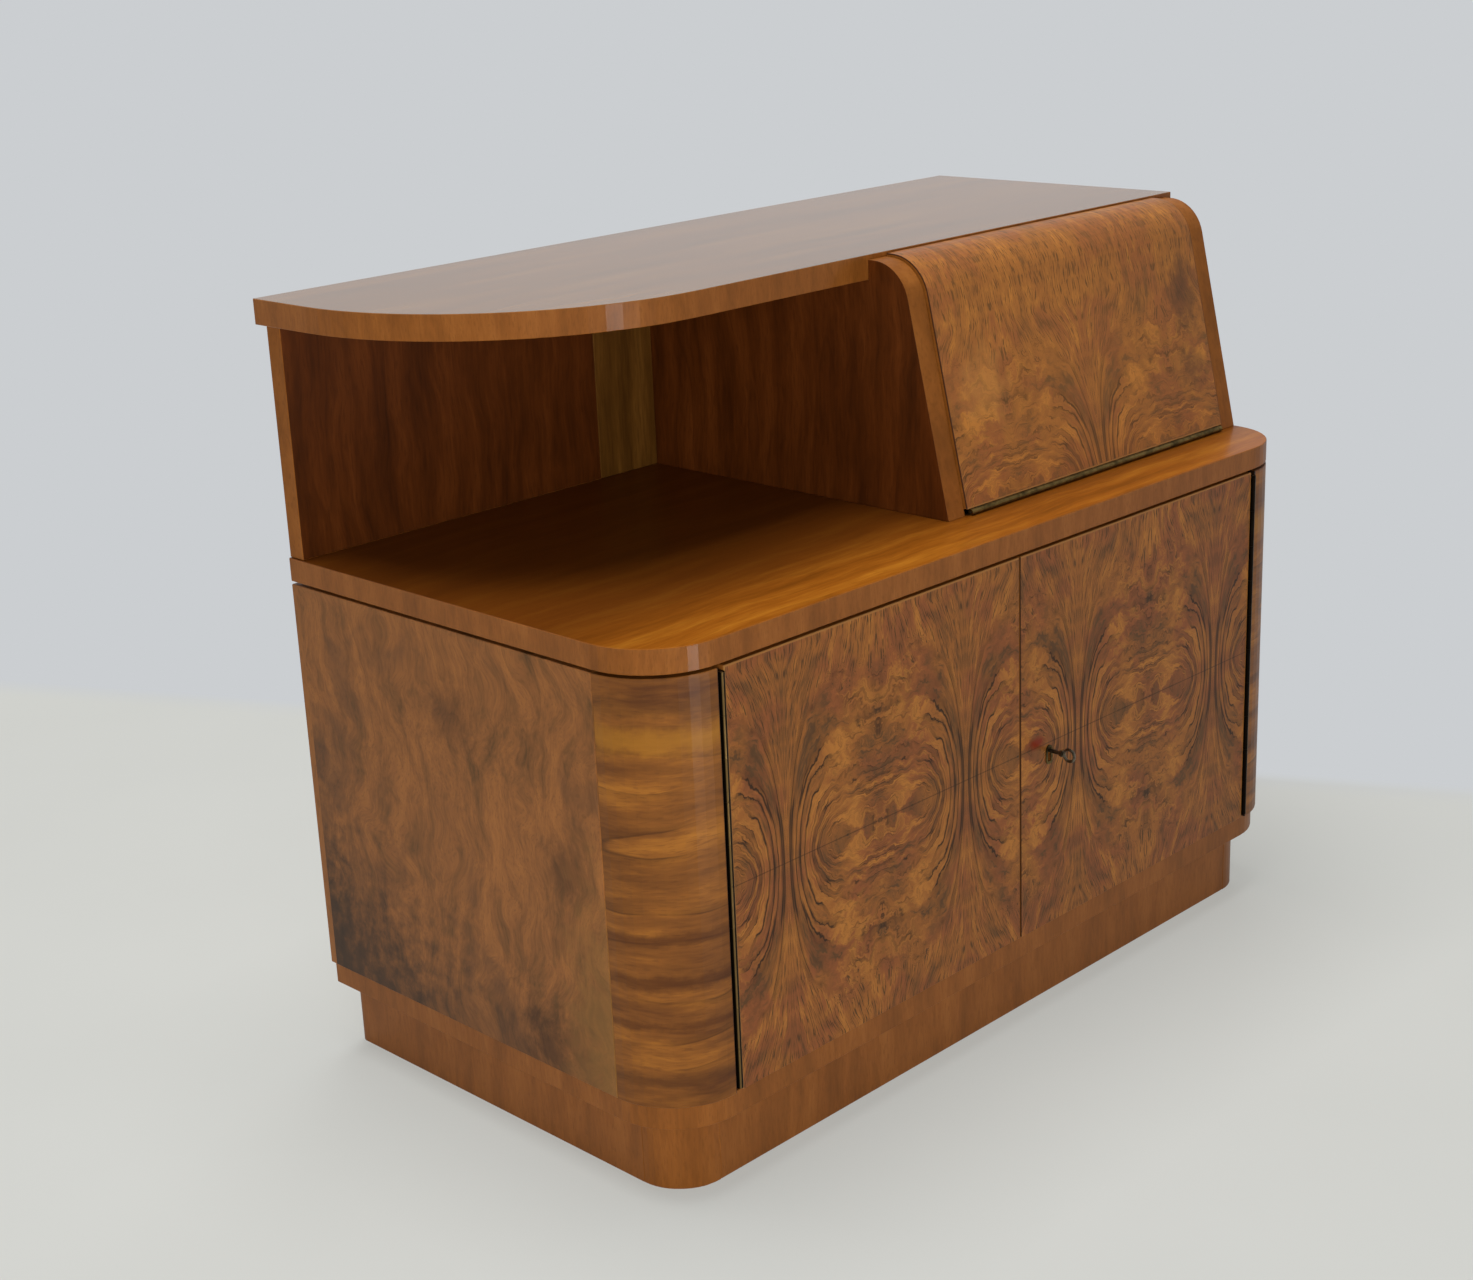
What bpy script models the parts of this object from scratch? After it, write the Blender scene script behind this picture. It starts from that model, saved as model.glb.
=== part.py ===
"""Walnut bar cabinet: a two-door cupboard that carries an open niche and a fall-front bar.

Metres, +Z up, the front towards -Y, the open niche on the left. The origin lies on the floor,
under the centre of everything that the closed cabinet reaches, its key included.
"""

import math

import bmesh
import bpy
from mathutils import Matrix, Vector

# Overall sizes
WIDTH = 1.000                 # over the carcass sides
DEPTH = 0.520                 # back edges to door faces
FIT_GAP = 0.0003              # between pieces that are glued, screwed or laid together
OVERRUN = 0.002               # how far a cut runs past the face it opens
WELD_DISTANCE = 0.00001
EDGE_ROUND = 0.0008           # softened arrises of the boards
EDGE_STEPS = 1
ARC_STEP = math.radians(7.5)  # turn of one facet on large rounded corners
ROUND_SHADING = math.radians(30)   # facets that meet at less than this shade as one surface
ARRIS_ANGLE = math.radians(40)     # edges sharper than this are softened
STRAIGHT = math.pi
SQUARE = math.pi / 2

# Plinth
PLINTH_HEIGHT = 0.075
PLINTH_INSET = 0.027
PLINTH_BOARD = 0.022
PLINTH_HEEL_RADIUS = 0.010

# Cupboard
BASE_BOARD = 0.025
BASE_INSET = 0.005
POST_RADIUS = 0.078
SIDE_BOARD = 0.022            # side panels and the walls of the corner posts
SIDE_HEIGHT = 0.414
BACK_BOARD = 0.006
SHADOW_GAP = 0.003            # groove under the worktop
SUB_TOP_BOARD = 0.018
WORKTOP_BOARD = 0.024
SHELF_BOARD = 0.018
SHELF_SETBACK = 0.100
SHELF_RISE = 0.205            # shelf top above the base board
BATTEN_SIZE = 0.020
BATTEN_SETBACK = 0.020        # from the shelf's front edge and from the back board
SHELF_END_GAP = 0.001

# Doors
DOOR_BOARD = 0.020
DOOR_FOOT_GAP = 0.0015
MEETING_GAP = 0.002

# Piano hinges
KNUCKLE_RADIUS = 0.0032
HINGE_PIN_RADIUS = 0.0010
PIN_CLEARANCE = 0.0003
LEAF_THICKNESS = 0.0010
LEAF_WIDTH = 0.0160
KNUCKLE_PITCH = 0.040
KNUCKLE_GAP = 0.0003
LEAF_RELIEF = 0.0003          # from a leaf's cut-out to the knuckle that turns in it
HINGE_END_MARGIN = 0.004
KNUCKLE_FACETS = 12
BORE_FACETS = 8

# Lock on the right door
LOCK_RISE = 0.195             # key axis above the door's foot
LOCK_BACKSET = 0.046          # key axis from the door's meeting edge
LOCK_EDGE_MARGIN = 0.003      # meeting edge to lock case
LOCK_ABOVE_AXIS = 0.026
LOCK_BELOW_AXIS = 0.022
LOCK_DEPTH = 0.0135
LOCK_WALL = 0.0015
BOLT_THROW = 0.012
BOLT_RISE = 0.0065            # key axis to the bolt's lower edge
BOLT_HEIGHT = 0.012
BOLT_THICKNESS = 0.006
BOLT_OFFSET = 0.004           # door back to bolt
BOLT_TAIL = 0.0035            # solid end of the bolt behind its talon
BOLT_TAIL_GAP = 0.003
BOLT_CLEARANCE = 0.0005
TALON_HALF_WIDTH = 0.0085
TALON_DEPTH = 0.0032
KEEPER_LENGTH = 0.014
KEEPER_HEIGHT = 0.030
KEEPER_EDGE_MARGIN = 0.0005
KEEPER_END_WALL = 0.002

# Key and escutcheon
KEY_STEM_RADIUS = 0.0020
KEY_BOW_REACH = 0.026         # door face to the centre of the bow
KEY_BOW_RADIUS = 0.0064
KEY_BOW_WIRE = 0.0016
KEY_COLLAR_RADIUS = 0.0034
KEY_COLLAR_LENGTH = 0.003
KEY_BIT_RADIUS = 0.009        # key axis to the tip of the bit
KEY_BIT_THICKNESS = 0.0016
KEY_TIP_GAP = 0.001
KEYHOLE_WIDTH = 0.0050
KEYHOLE_BELOW_AXIS = 0.0120
KEYHOLE_ABOVE_AXIS = 0.0026
ESCUTCHEON_WIDTH = 0.0105
ESCUTCHEON_MARGIN = 0.0032    # brass above and below the keyhole
ESCUTCHEON_THICKNESS = 0.0008
ROUND_FACETS = 12
BOW_FACETS = 16

# Flush bolts in the meeting edge of the left door
EDGE_BOLT_RADIUS = 0.003
EDGE_BOLT_LENGTH = 0.092
EDGE_BOLT_THROW = 0.012
EDGE_BOLT_REST = 0.001        # rod end behind the door's end at rest
EDGE_BOLT_DEPTH = 0.012       # door face to rod axis
EDGE_PLATE_THICKNESS = 0.002
EDGE_PLATE_WIDTH = 0.013
EDGE_PLATE_LENGTH = 0.110
EDGE_CHANNEL_CLEARANCE = 0.0010
THUMB_LENGTH = 0.008
THUMB_WIDTH = 0.004
THUMB_PLACE_SHARE = 0.5       # of the rod's length, from its inner end
SLOT_CLEARANCE = 0.0005
SOCKET_CLEARANCE = 0.0006
SOCKET_DEPTH = 0.013

# Upper part
NICHE_HEIGHT = 0.234          # worktop to the underside of the top board
TOP_BOARD = 0.025
TOP_OVERHANG = 0.010          # past the carcass at both ends
TOP_DEPTH = 0.343
TOP_CORNER_RADIUS = 0.257
UPPER_INSET = 0.002           # upper panels behind the worktop's ends
NICHE_PANEL = 0.022
INFILL_WIDTH = 0.085
BAR_WIDTH = 0.514             # over the bar's side panels
BAR_SIDE = 0.026
BAR_BACK = 0.008
BAR_FOOT_DEPTH = 0.443        # back edge to the foot of the sloping front edge
BAR_SLOPE = math.radians(12.5)
BAR_SHOULDER_RADIUS = 0.045
BAR_SHOULDER_DROP = 0.005     # top board's face to the side panels' shoulders
NOTCH_GAP = 0.0006            # side panels to the top board's front edge

# Flap
FLAP_BOARD = 0.018
FLAP_PROUD = 0.003            # in front of the side panels' edges
FLAP_SIDE_GAP = 0.0018
FLAP_TOP_GAP = 0.0015

# Derived places
left_x = -WIDTH / 2
right_x = WIDTH / 2
key_reach = KEY_BOW_REACH + KEY_BOW_RADIUS + KEY_BOW_WIRE
back_y = (DEPTH + key_reach) / 2
front_y = back_y - DEPTH
base_z = PLINTH_HEIGHT + FIT_GAP
base_top_z = PLINTH_HEIGHT + BASE_BOARD
side_top_z = base_top_z + SIDE_HEIGHT
worktop_z = side_top_z + SHADOW_GAP
worktop_top_z = worktop_z + WORKTOP_BOARD
top_z = worktop_top_z + NICHE_HEIGHT
top_face_z = top_z + TOP_BOARD
door_back_y = front_y + DOOR_BOARD
door_foot_z = base_top_z + DOOR_FOOT_GAP
door_hinge_gap = 2 * (KNUCKLE_RADIUS + FIT_GAP)
left_hinge_x = left_x + POST_RADIUS + door_hinge_gap / 2
right_hinge_x = -left_hinge_x
left_meeting_x = -MEETING_GAP / 2
right_meeting_x = MEETING_GAP / 2
key_x = right_meeting_x + LOCK_BACKSET
key_z = door_foot_z + LOCK_RISE
lock_bolt_y = (door_back_y + BOLT_OFFSET, door_back_y + BOLT_OFFSET + BOLT_THICKNESS)
lock_bolt_z = (key_z + BOLT_RISE, key_z + BOLT_RISE + BOLT_HEIGHT)
edge_bolt_x = left_meeting_x - EDGE_PLATE_THICKNESS - EDGE_CHANNEL_CLEARANCE - EDGE_BOLT_RADIUS
edge_bolt_y = front_y + EDGE_BOLT_DEPTH
bar_left_x = right_x - UPPER_INSET - BAR_WIDTH
bar_right_x = right_x - UPPER_INSET
bar_inner_left_x = bar_left_x + BAR_SIDE
bar_inner_right_x = bar_right_x - BAR_SIDE
top_front_y = back_y - TOP_DEPTH
bar_foot_y = back_y - BAR_FOOT_DEPTH
flap_hinge_z = worktop_top_z + KNUCKLE_RADIUS + FIT_GAP
flap_foot_z = worktop_top_z + 2 * (KNUCKLE_RADIUS + FIT_GAP)


def clear_scene():
    for thing in list(bpy.data.objects):
        bpy.data.objects.remove(thing, do_unlink=True)


def new_collection(name):
    collection = bpy.data.collections.new(name)
    bpy.context.scene.collection.children.link(collection)
    return collection


def linear(channel):
    """Linear value of one sRGB channel."""
    return channel / 12.92 if channel <= 0.04045 else ((channel + 0.055) / 1.055) ** 2.4


def finish(name, hex_colour, roughness, metallic):
    """Principled material from an sRGB hex colour."""
    material = bpy.data.materials.new(name)
    material.use_nodes = True
    shader = material.node_tree.nodes["Principled BSDF"]
    channels = [linear(int(hex_colour[i:i + 2], 16) / 255) for i in (0, 2, 4)]
    shader.inputs["Base Color"].default_value = (*channels, 1)
    shader.inputs["Roughness"].default_value = roughness
    shader.inputs["Metallic"].default_value = metallic
    return material


clear_scene()
parts = new_collection("cabinet")
cutters = new_collection("cutters")
walnut = finish("walnut_veneer", "8A5A34", 0.28, 0)
honey = finish("honey_walnut_veneer", "A86E30", 0.25, 0)
dark_walnut = finish("dark_walnut_veneer", "5A3218", 0.35, 0)
sapwood = finish("pale_sapwood_veneer", "9C7434", 0.35, 0)
inner_wood = finish("inner_wood", "B08A5C", 0.55, 0)
brass = finish("aged_brass", "9A7B3E", 0.35, 1)
steel = finish("nickelled_steel", "A9A6A0", 0.3, 1)

PLAN = Matrix.Identity(3)
PROFILE = Matrix(((0, 0, 1), (1, 0, 0), (0, 1, 0)))          # drawn in Y and Z, thick along X
FRONT = Matrix(((1, 0, 0), (0, 0, -1), (0, 1, 0)))           # drawn in X and Z, thick along Y
FLAP_HINGE = Matrix(((0, 0, -1), (0, 1, 0), (1, 0, 0)))      # leaves lie flat, axis along X


def add_object(name, mesh, material, collection):
    thing = bpy.data.objects.new(name, mesh)
    collection.objects.link(thing)
    if collection is cutters:
        thing.hide_render = True
        thing.display_type = "WIRE"
    else:
        mesh.materials.append(material)
    return thing


def mesh_from(bm, name):
    mesh = bpy.data.meshes.new(name)
    bm.to_mesh(mesh)
    bm.free()
    return mesh


def box(name, low, high, material=None, collection=None):
    """Rectangular board between two corners."""
    low, high = Vector(low), Vector(high)
    bm = bmesh.new()
    bmesh.ops.create_cube(bm, size=1)
    bmesh.ops.scale(bm, vec=high - low, verts=bm.verts)
    thing = add_object(name, mesh_from(bm, name), material, collection or parts)
    thing.location = (low + high) / 2
    return thing


def rod(name, start, end, radius, facets, material=None, collection=None):
    """Round bar between two points."""
    start, end = Vector(start), Vector(end)
    bm = bmesh.new()
    bmesh.ops.create_cone(bm, cap_ends=True, segments=facets, radius1=radius, radius2=radius,
                          depth=(end - start).length)
    thing = add_object(name, mesh_from(bm, name), material, collection or parts)
    thing.rotation_mode = "QUATERNION"
    thing.rotation_quaternion = (end - start).to_track_quat("Z", "Y")
    thing.location = (start + end) / 2
    shade_round(thing)
    return thing


def slab(name, loops, axes, centre, thickness, material=None, collection=None):
    """Flat outline, holes included, given a thickness and set down along the given axes."""
    curve = bpy.data.curves.new(name, "CURVE")
    curve.dimensions = "2D"
    curve.fill_mode = "BOTH"
    curve.extrude = thickness / 2
    for loop in loops:
        spline = curve.splines.new("POLY")
        spline.points.add(len(loop) - 1)
        for point, (u, v) in zip(spline.points, loop):
            point.co = (u, v, 0, 1)
        spline.use_cyclic_u = True
    drawn = bpy.data.objects.new(name + "_outline", curve)
    bpy.context.scene.collection.objects.link(drawn)
    graph = bpy.context.evaluated_depsgraph_get()
    mesh = bpy.data.meshes.new_from_object(drawn.evaluated_get(graph))
    bpy.data.objects.remove(drawn, do_unlink=True)
    bm = bmesh.new()
    bm.from_mesh(mesh)
    bmesh.ops.remove_doubles(bm, verts=bm.verts, dist=WELD_DISTANCE)
    bm.to_mesh(mesh)
    bm.free()
    mesh.name = name
    thing = add_object(name, mesh, material, collection or parts)
    thing.matrix_world = Matrix.Translation(centre) @ axes.to_4x4()
    shade_round(thing)
    return thing


def shade_round(thing):
    thing.data.shade_smooth()
    thing.data.set_sharp_from_angle(angle=ROUND_SHADING)


def soften(thing, width=EDGE_ROUND, steps=EDGE_STEPS):
    """Break the sharp arrises of a board."""
    bevel = thing.modifiers.new("arrises", "BEVEL")
    bevel.width = width
    bevel.segments = steps
    bevel.limit_method = "ANGLE"
    bevel.angle_limit = ARRIS_ANGLE
    return thing


def boolean(thing, other, operation):
    change = thing.modifiers.new(other.name, "BOOLEAN")
    change.operation = operation
    change.solver = "EXACT"
    change.object = other
    return thing


def cut(thing, cutter):
    return boolean(thing, cutter, "DIFFERENCE")


def fuse(thing, other):
    return boolean(thing, other, "UNION")


def arc(centre, radius, start, end, step=ARC_STEP):
    """Points on an arc, both ends included."""
    count = max(2, math.ceil(abs(end - start) / step))
    angles = [start + (end - start) * i / count for i in range(count + 1)]
    return [(centre[0] + radius * math.cos(a), centre[1] + radius * math.sin(a)) for a in angles]


def circle(radius, facets, centre=(0, 0)):
    turns = [2 * STRAIGHT * i / facets for i in range(facets)]
    return [(centre[0] + radius * math.cos(a), centre[1] + radius * math.sin(a)) for a in turns]


def board_outline(inset, corner_radius, back=None):
    """Plan of a board that follows the carcass: square at the back, round at the front."""
    low_x, high_x, low_y = left_x + inset, right_x - inset, front_y + inset
    high_y = back_y if back is None else back
    return ([(high_x, high_y), (low_x, high_y)]
            + arc((low_x + corner_radius, low_y + corner_radius), corner_radius,
                  STRAIGHT, STRAIGHT + SQUARE)
            + arc((high_x - corner_radius, low_y + corner_radius), corner_radius,
                  STRAIGHT + SQUARE, 2 * STRAIGHT))


def joint_frame(name, place):
    """Empty on a joint's axis, which carries the pieces that move on it."""
    empty = bpy.data.objects.new(name, None)
    empty.location = place
    parts.objects.link(empty)
    return empty


def carry(empty, things):
    bpy.context.view_layer.update()
    for thing in things:
        thing.parent = empty
        thing.matrix_parent_inverse = empty.matrix_world.inverted()


def make_plinth():
    """Recessed plinth: four rails and two quarter-round corner blocks."""
    outer = POST_RADIUS - PLINTH_INSET
    face_y = front_y + PLINTH_INSET
    outer_x = WIDTH / 2 - PLINTH_INSET
    corner_x = outer_x - outer
    corner_y = face_y + outer
    middle_z = PLINTH_HEIGHT / 2
    soften(box("plinth_front_rail", (-corner_x + FIT_GAP, face_y, 0),
               (corner_x - FIT_GAP, face_y + PLINTH_BOARD, PLINTH_HEIGHT), walnut))
    box("plinth_back_rail", (-outer_x + PLINTH_BOARD + FIT_GAP, back_y - PLINTH_BOARD, 0),
        (outer_x - PLINTH_BOARD - FIT_GAP, back_y, PLINTH_HEIGHT), inner_wood)
    for side, name in ((-1, "left"), (1, "right")):
        heel = arc((outer_x - PLINTH_HEEL_RADIUS, back_y - PLINTH_HEEL_RADIUS),
                   PLINTH_HEEL_RADIUS, 0, SQUARE, 2 * ARC_STEP)
        rail = ([(outer_x - PLINTH_BOARD, corner_y + FIT_GAP), (outer_x, corner_y + FIT_GAP)]
                + heel + [(outer_x - PLINTH_BOARD, back_y)])
        block = (arc((corner_x, corner_y), outer, -SQUARE, 0)
                 + arc((corner_x, corner_y), outer - PLINTH_BOARD, 0, -SQUARE))
        for piece, loop in (("rail", rail), ("corner", block)):
            placed = [(side * x, y) for x, y in loop][::side]
            soften(slab(f"plinth_{name}_{piece}", [placed], PLAN, (0, 0, middle_z),
                        PLINTH_HEIGHT, walnut))


def make_base_and_worktop():
    """Base board and worktop, both rounded like the corner posts, with sockets for the bolts."""
    base = slab("base_board", [board_outline(BASE_INSET, POST_RADIUS - BASE_INSET)], PLAN,
                (0, 0, (base_z + base_top_z) / 2), base_top_z - base_z, walnut)
    soften(base)
    worktop = slab("worktop", [board_outline(0, POST_RADIUS)], PLAN,
                   (0, 0, (worktop_z + worktop_top_z) / 2), WORKTOP_BOARD, honey)
    soften(worktop)
    socket_radius = EDGE_BOLT_RADIUS + SOCKET_CLEARANCE
    for thing, mouth_z, sink in ((base, base_top_z, -SOCKET_DEPTH), (worktop, worktop_z, SOCKET_DEPTH)):
        outside = mouth_z - math.copysign(OVERRUN, sink)
        cut(thing, rod(thing.name + "_socket", (edge_bolt_x, edge_bolt_y, outside),
                       (edge_bolt_x, edge_bolt_y, mouth_z + sink), socket_radius,
                       ROUND_FACETS, collection=cutters))


def make_carcass():
    """Side panels, corner posts, back, the board under the worktop, and the inner shelf."""
    low_z = base_top_z + FIT_GAP
    post_y = front_y + POST_RADIUS
    for side, name in ((-1, "left"), (1, "right")):
        outer, inner = side * WIDTH / 2, side * (WIDTH / 2 - SIDE_BOARD)
        soften(box(f"{name}_side", (min(outer, inner), post_y + FIT_GAP, low_z),
                   (max(outer, inner), back_y, side_top_z), walnut))
        centre = (WIDTH / 2 - POST_RADIUS, post_y)
        shell = (arc(centre, POST_RADIUS, -SQUARE, 0)
                 + arc(centre, POST_RADIUS - SIDE_BOARD, 0, -SQUARE))
        soften(slab(f"{name}_corner_post", [[(side * x, y) for x, y in shell][::side]], PLAN,
                    (0, 0, (low_z + side_top_z) / 2), side_top_z - low_z, honey))
        batten_x = (side * (WIDTH / 2 - SIDE_BOARD - FIT_GAP),
                    side * (WIDTH / 2 - SIDE_BOARD - FIT_GAP - BATTEN_SIZE))
        batten_top = base_top_z + SHELF_RISE - SHELF_BOARD - FIT_GAP
        box(f"{name}_shelf_batten",
            (min(batten_x), front_y + SHELF_SETBACK + BATTEN_SETBACK, batten_top - BATTEN_SIZE),
            (max(batten_x), back_y - BACK_BOARD - BATTEN_SETBACK, batten_top), inner_wood)
    inner_x = WIDTH / 2 - SIDE_BOARD - FIT_GAP
    box("carcass_back", (-inner_x, back_y - BACK_BOARD, low_z),
        (inner_x, back_y, worktop_z - SUB_TOP_BOARD - 2 * FIT_GAP), inner_wood)
    inset = SIDE_BOARD + FIT_GAP
    slab("sub_top", [board_outline(inset, POST_RADIUS - inset)], PLAN,
         (0, 0, worktop_z - FIT_GAP - SUB_TOP_BOARD / 2), SUB_TOP_BOARD, inner_wood)
    shelf_top = base_top_z + SHELF_RISE
    shelf_x = WIDTH / 2 - SIDE_BOARD - SHELF_END_GAP
    soften(box("cupboard_shelf", (-shelf_x, front_y + SHELF_SETBACK, shelf_top - SHELF_BOARD),
               (shelf_x, back_y - BACK_BOARD - FIT_GAP, shelf_top), inner_wood))


def knuckle_loop(sign, reach):
    """Section of one knuckle and the tongue that joins it to its leaf, and the pin's bore."""
    tongue = [(-KNUCKLE_RADIUS + LEAF_THICKNESS, reach), (-KNUCKLE_RADIUS, reach)]
    inner_angle = STRAIGHT - math.acos((KNUCKLE_RADIUS - LEAF_THICKNESS) / KNUCKLE_RADIUS)
    barrel = arc((0, 0), KNUCKLE_RADIUS, -STRAIGHT, inner_angle, 2 * STRAIGHT / KNUCKLE_FACETS)
    outer = tongue + barrel
    bore = circle(HINGE_PIN_RADIUS + PIN_CLEARANCE, BORE_FACETS)
    if sign > 0:
        outer = [(-u, v) for u, v in outer][::-1]
    return [outer, bore]


def piano_hinge(name, fixed, moving, low, axes, length):
    """Two leaves with interleaved knuckles on a pin, shut, their plates running along local +Y."""
    count = max(3, round(length / KNUCKLE_PITCH))
    pitch = length / count
    plate_start = KNUCKLE_RADIUS + LEAF_RELIEF
    direction = axes @ Vector((0, 0, 1))
    low = Vector(low)
    leaves = []
    for sign, leaf_name in ((-1, fixed), (1, moving)):
        u = sorted((sign * KNUCKLE_RADIUS, sign * (KNUCKLE_RADIUS - LEAF_THICKNESS)))
        outline = [(u[0], plate_start), (u[1], plate_start), (u[1], LEAF_WIDTH), (u[0], LEAF_WIDTH)]
        middle = low + direction * length / 2
        leaf = slab(f"{name}_{leaf_name}", [outline], axes, middle, length, brass)
        for index in range(0 if sign < 0 else 1, count, 2):
            centre = low + direction * pitch * (index + 0.5)
            loops = knuckle_loop(sign, plate_start + LEAF_THICKNESS)
            fuse(leaf, slab(f"{name}_{leaf_name}_knuckle_{index}", loops, axes, centre,
                            pitch - KNUCKLE_GAP, collection=cutters))
        leaves.append(leaf)
    rod(f"{name}_pin", low + direction * KNUCKLE_GAP, low + direction * (length - KNUCKLE_GAP),
        HINGE_PIN_RADIUS, BORE_FACETS, steel)
    return leaves


def make_edge_bolt(name, door, end_z, way):
    """Flush bolt let into the left door's meeting edge; way is +1 at the top, -1 at the foot."""
    x, y = edge_bolt_x, edge_bolt_y
    half_channel = EDGE_BOLT_RADIUS + EDGE_CHANNEL_CLEARANCE
    inner_z = end_z - way * (EDGE_PLATE_LENGTH + EDGE_CHANNEL_CLEARANCE)
    outside_z = end_z + way * OVERRUN
    outside_x = left_meeting_x + OVERRUN
    cut(door, box(f"{name}_channel", (x - half_channel, y - half_channel, min(inner_z, outside_z)),
                  (outside_x, y + half_channel, max(inner_z, outside_z)), collection=cutters))
    seat = EDGE_PLATE_WIDTH / 2 + FIT_GAP
    cut(door, box(f"{name}_seat", (left_meeting_x - EDGE_PLATE_THICKNESS - FIT_GAP, y - seat,
                                   min(inner_z, outside_z)),
                  (outside_x, y + seat, max(inner_z, outside_z)), collection=cutters))
    plate_inner = end_z - way * EDGE_PLATE_LENGTH
    plate = box(f"{name}_plate",
                (left_meeting_x - EDGE_PLATE_THICKNESS, y - EDGE_PLATE_WIDTH / 2, min(plate_inner, end_z)),
                (left_meeting_x, y + EDGE_PLATE_WIDTH / 2, max(plate_inner, end_z)), brass)
    rod_end = end_z - way * EDGE_BOLT_REST
    rod_inner = rod_end - way * EDGE_BOLT_LENGTH
    bolt = rod(name, (x, y, rod_inner), (x, y, rod_end), EDGE_BOLT_RADIUS, ROUND_FACETS, brass)
    thumb_z = rod_inner + way * EDGE_BOLT_LENGTH * THUMB_PLACE_SHARE
    fuse(bolt, box(f"{name}_thumb", (x, y - THUMB_WIDTH / 2, thumb_z - THUMB_LENGTH / 2),
                   (left_meeting_x, y + THUMB_WIDTH / 2, thumb_z + THUMB_LENGTH / 2),
                   collection=cutters))
    half_slot = THUMB_LENGTH / 2 + SLOT_CLEARANCE
    ends = (thumb_z - way * half_slot, thumb_z + way * (half_slot + EDGE_BOLT_THROW))
    slot_y = THUMB_WIDTH / 2 + SLOT_CLEARANCE
    cut(plate, box(f"{name}_slot", (left_meeting_x - EDGE_PLATE_THICKNESS - OVERRUN, y - slot_y, min(ends)),
                   (outside_x, y + slot_y, max(ends)), collection=cutters))
    carry(joint_frame(f"{name}_slide", (x, y, rod_end)), [bolt])
    return plate


def make_lock(door):
    """Rim lock on the right door's back: case, bolt, key, escutcheon, and the keyhole."""
    case_left = right_meeting_x + LOCK_EDGE_MARGIN
    talon_x = key_x + BOLT_THROW / 2
    bolt_right = talon_x + TALON_HALF_WIDTH + BOLT_TAIL
    case_right = bolt_right + BOLT_TAIL_GAP + LOCK_WALL
    seat_y = door_back_y + FIT_GAP
    low_z, high_z = key_z - LOCK_BELOW_AXIS, key_z + LOCK_ABOVE_AXIS
    case = box("lock_case", (case_left, seat_y, low_z), (case_right, seat_y + LOCK_DEPTH, high_z), steel)
    cut(case, box("lock_cavity", (case_left + LOCK_WALL, seat_y - OVERRUN, low_z + LOCK_WALL),
                  (case_right - LOCK_WALL, seat_y + LOCK_DEPTH - LOCK_WALL, high_z - LOCK_WALL),
                  collection=cutters))
    bolt_y, bolt_z = lock_bolt_y, lock_bolt_z
    cut(case, box("lock_window", (case_left - OVERRUN, bolt_y[0] - BOLT_CLEARANCE, bolt_z[0] - BOLT_CLEARANCE),
                  (case_left + LOCK_WALL + OVERRUN, bolt_y[1] + BOLT_CLEARANCE, bolt_z[1] + BOLT_CLEARANCE),
                  collection=cutters))
    bolt = box("lock_bolt", (case_left, bolt_y[0], bolt_z[0]), (bolt_right, bolt_y[1], bolt_z[1]), brass)
    cut(bolt, box("bolt_talon", (talon_x - TALON_HALF_WIDTH, bolt_y[0] - OVERRUN, bolt_z[0] - OVERRUN),
                  (talon_x + TALON_HALF_WIDTH, bolt_y[1] + OVERRUN, bolt_z[0] + TALON_DEPTH),
                  collection=cutters))
    carry(joint_frame("lock_bolt_slide", (case_left, bolt_y[0], bolt_z[0])), [bolt])
    hole_z = (key_z - KEYHOLE_BELOW_AXIS, key_z + KEYHOLE_ABOVE_AXIS)
    half_hole = KEYHOLE_WIDTH / 2
    cut(door, box("keyhole", (key_x - half_hole, front_y - OVERRUN, hole_z[0]),
                  (key_x + half_hole, door_back_y + OVERRUN, hole_z[1]), collection=cutters))
    make_escutcheon(hole_z, half_hole)
    make_key()
    return case


def make_escutcheon(hole_z, half_hole):
    """Thin brass plate with round ends on the door's face, pierced by the keyhole."""
    half = ESCUTCHEON_WIDTH / 2
    top, foot = hole_z[1] + ESCUTCHEON_MARGIN - half, hole_z[0] - ESCUTCHEON_MARGIN + half
    outer = (arc((key_x, top), half, 0, STRAIGHT, 2 * ARC_STEP)
             + arc((key_x, foot), half, STRAIGHT, 2 * STRAIGHT, 2 * ARC_STEP))
    hole = [(key_x - half_hole, hole_z[0]), (key_x + half_hole, hole_z[0]),
            (key_x + half_hole, hole_z[1]), (key_x - half_hole, hole_z[1])]
    slab("escutcheon", [outer, hole], FRONT,
         (0, front_y - FIT_GAP - ESCUTCHEON_THICKNESS / 2, 0), ESCUTCHEON_THICKNESS, brass)


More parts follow.
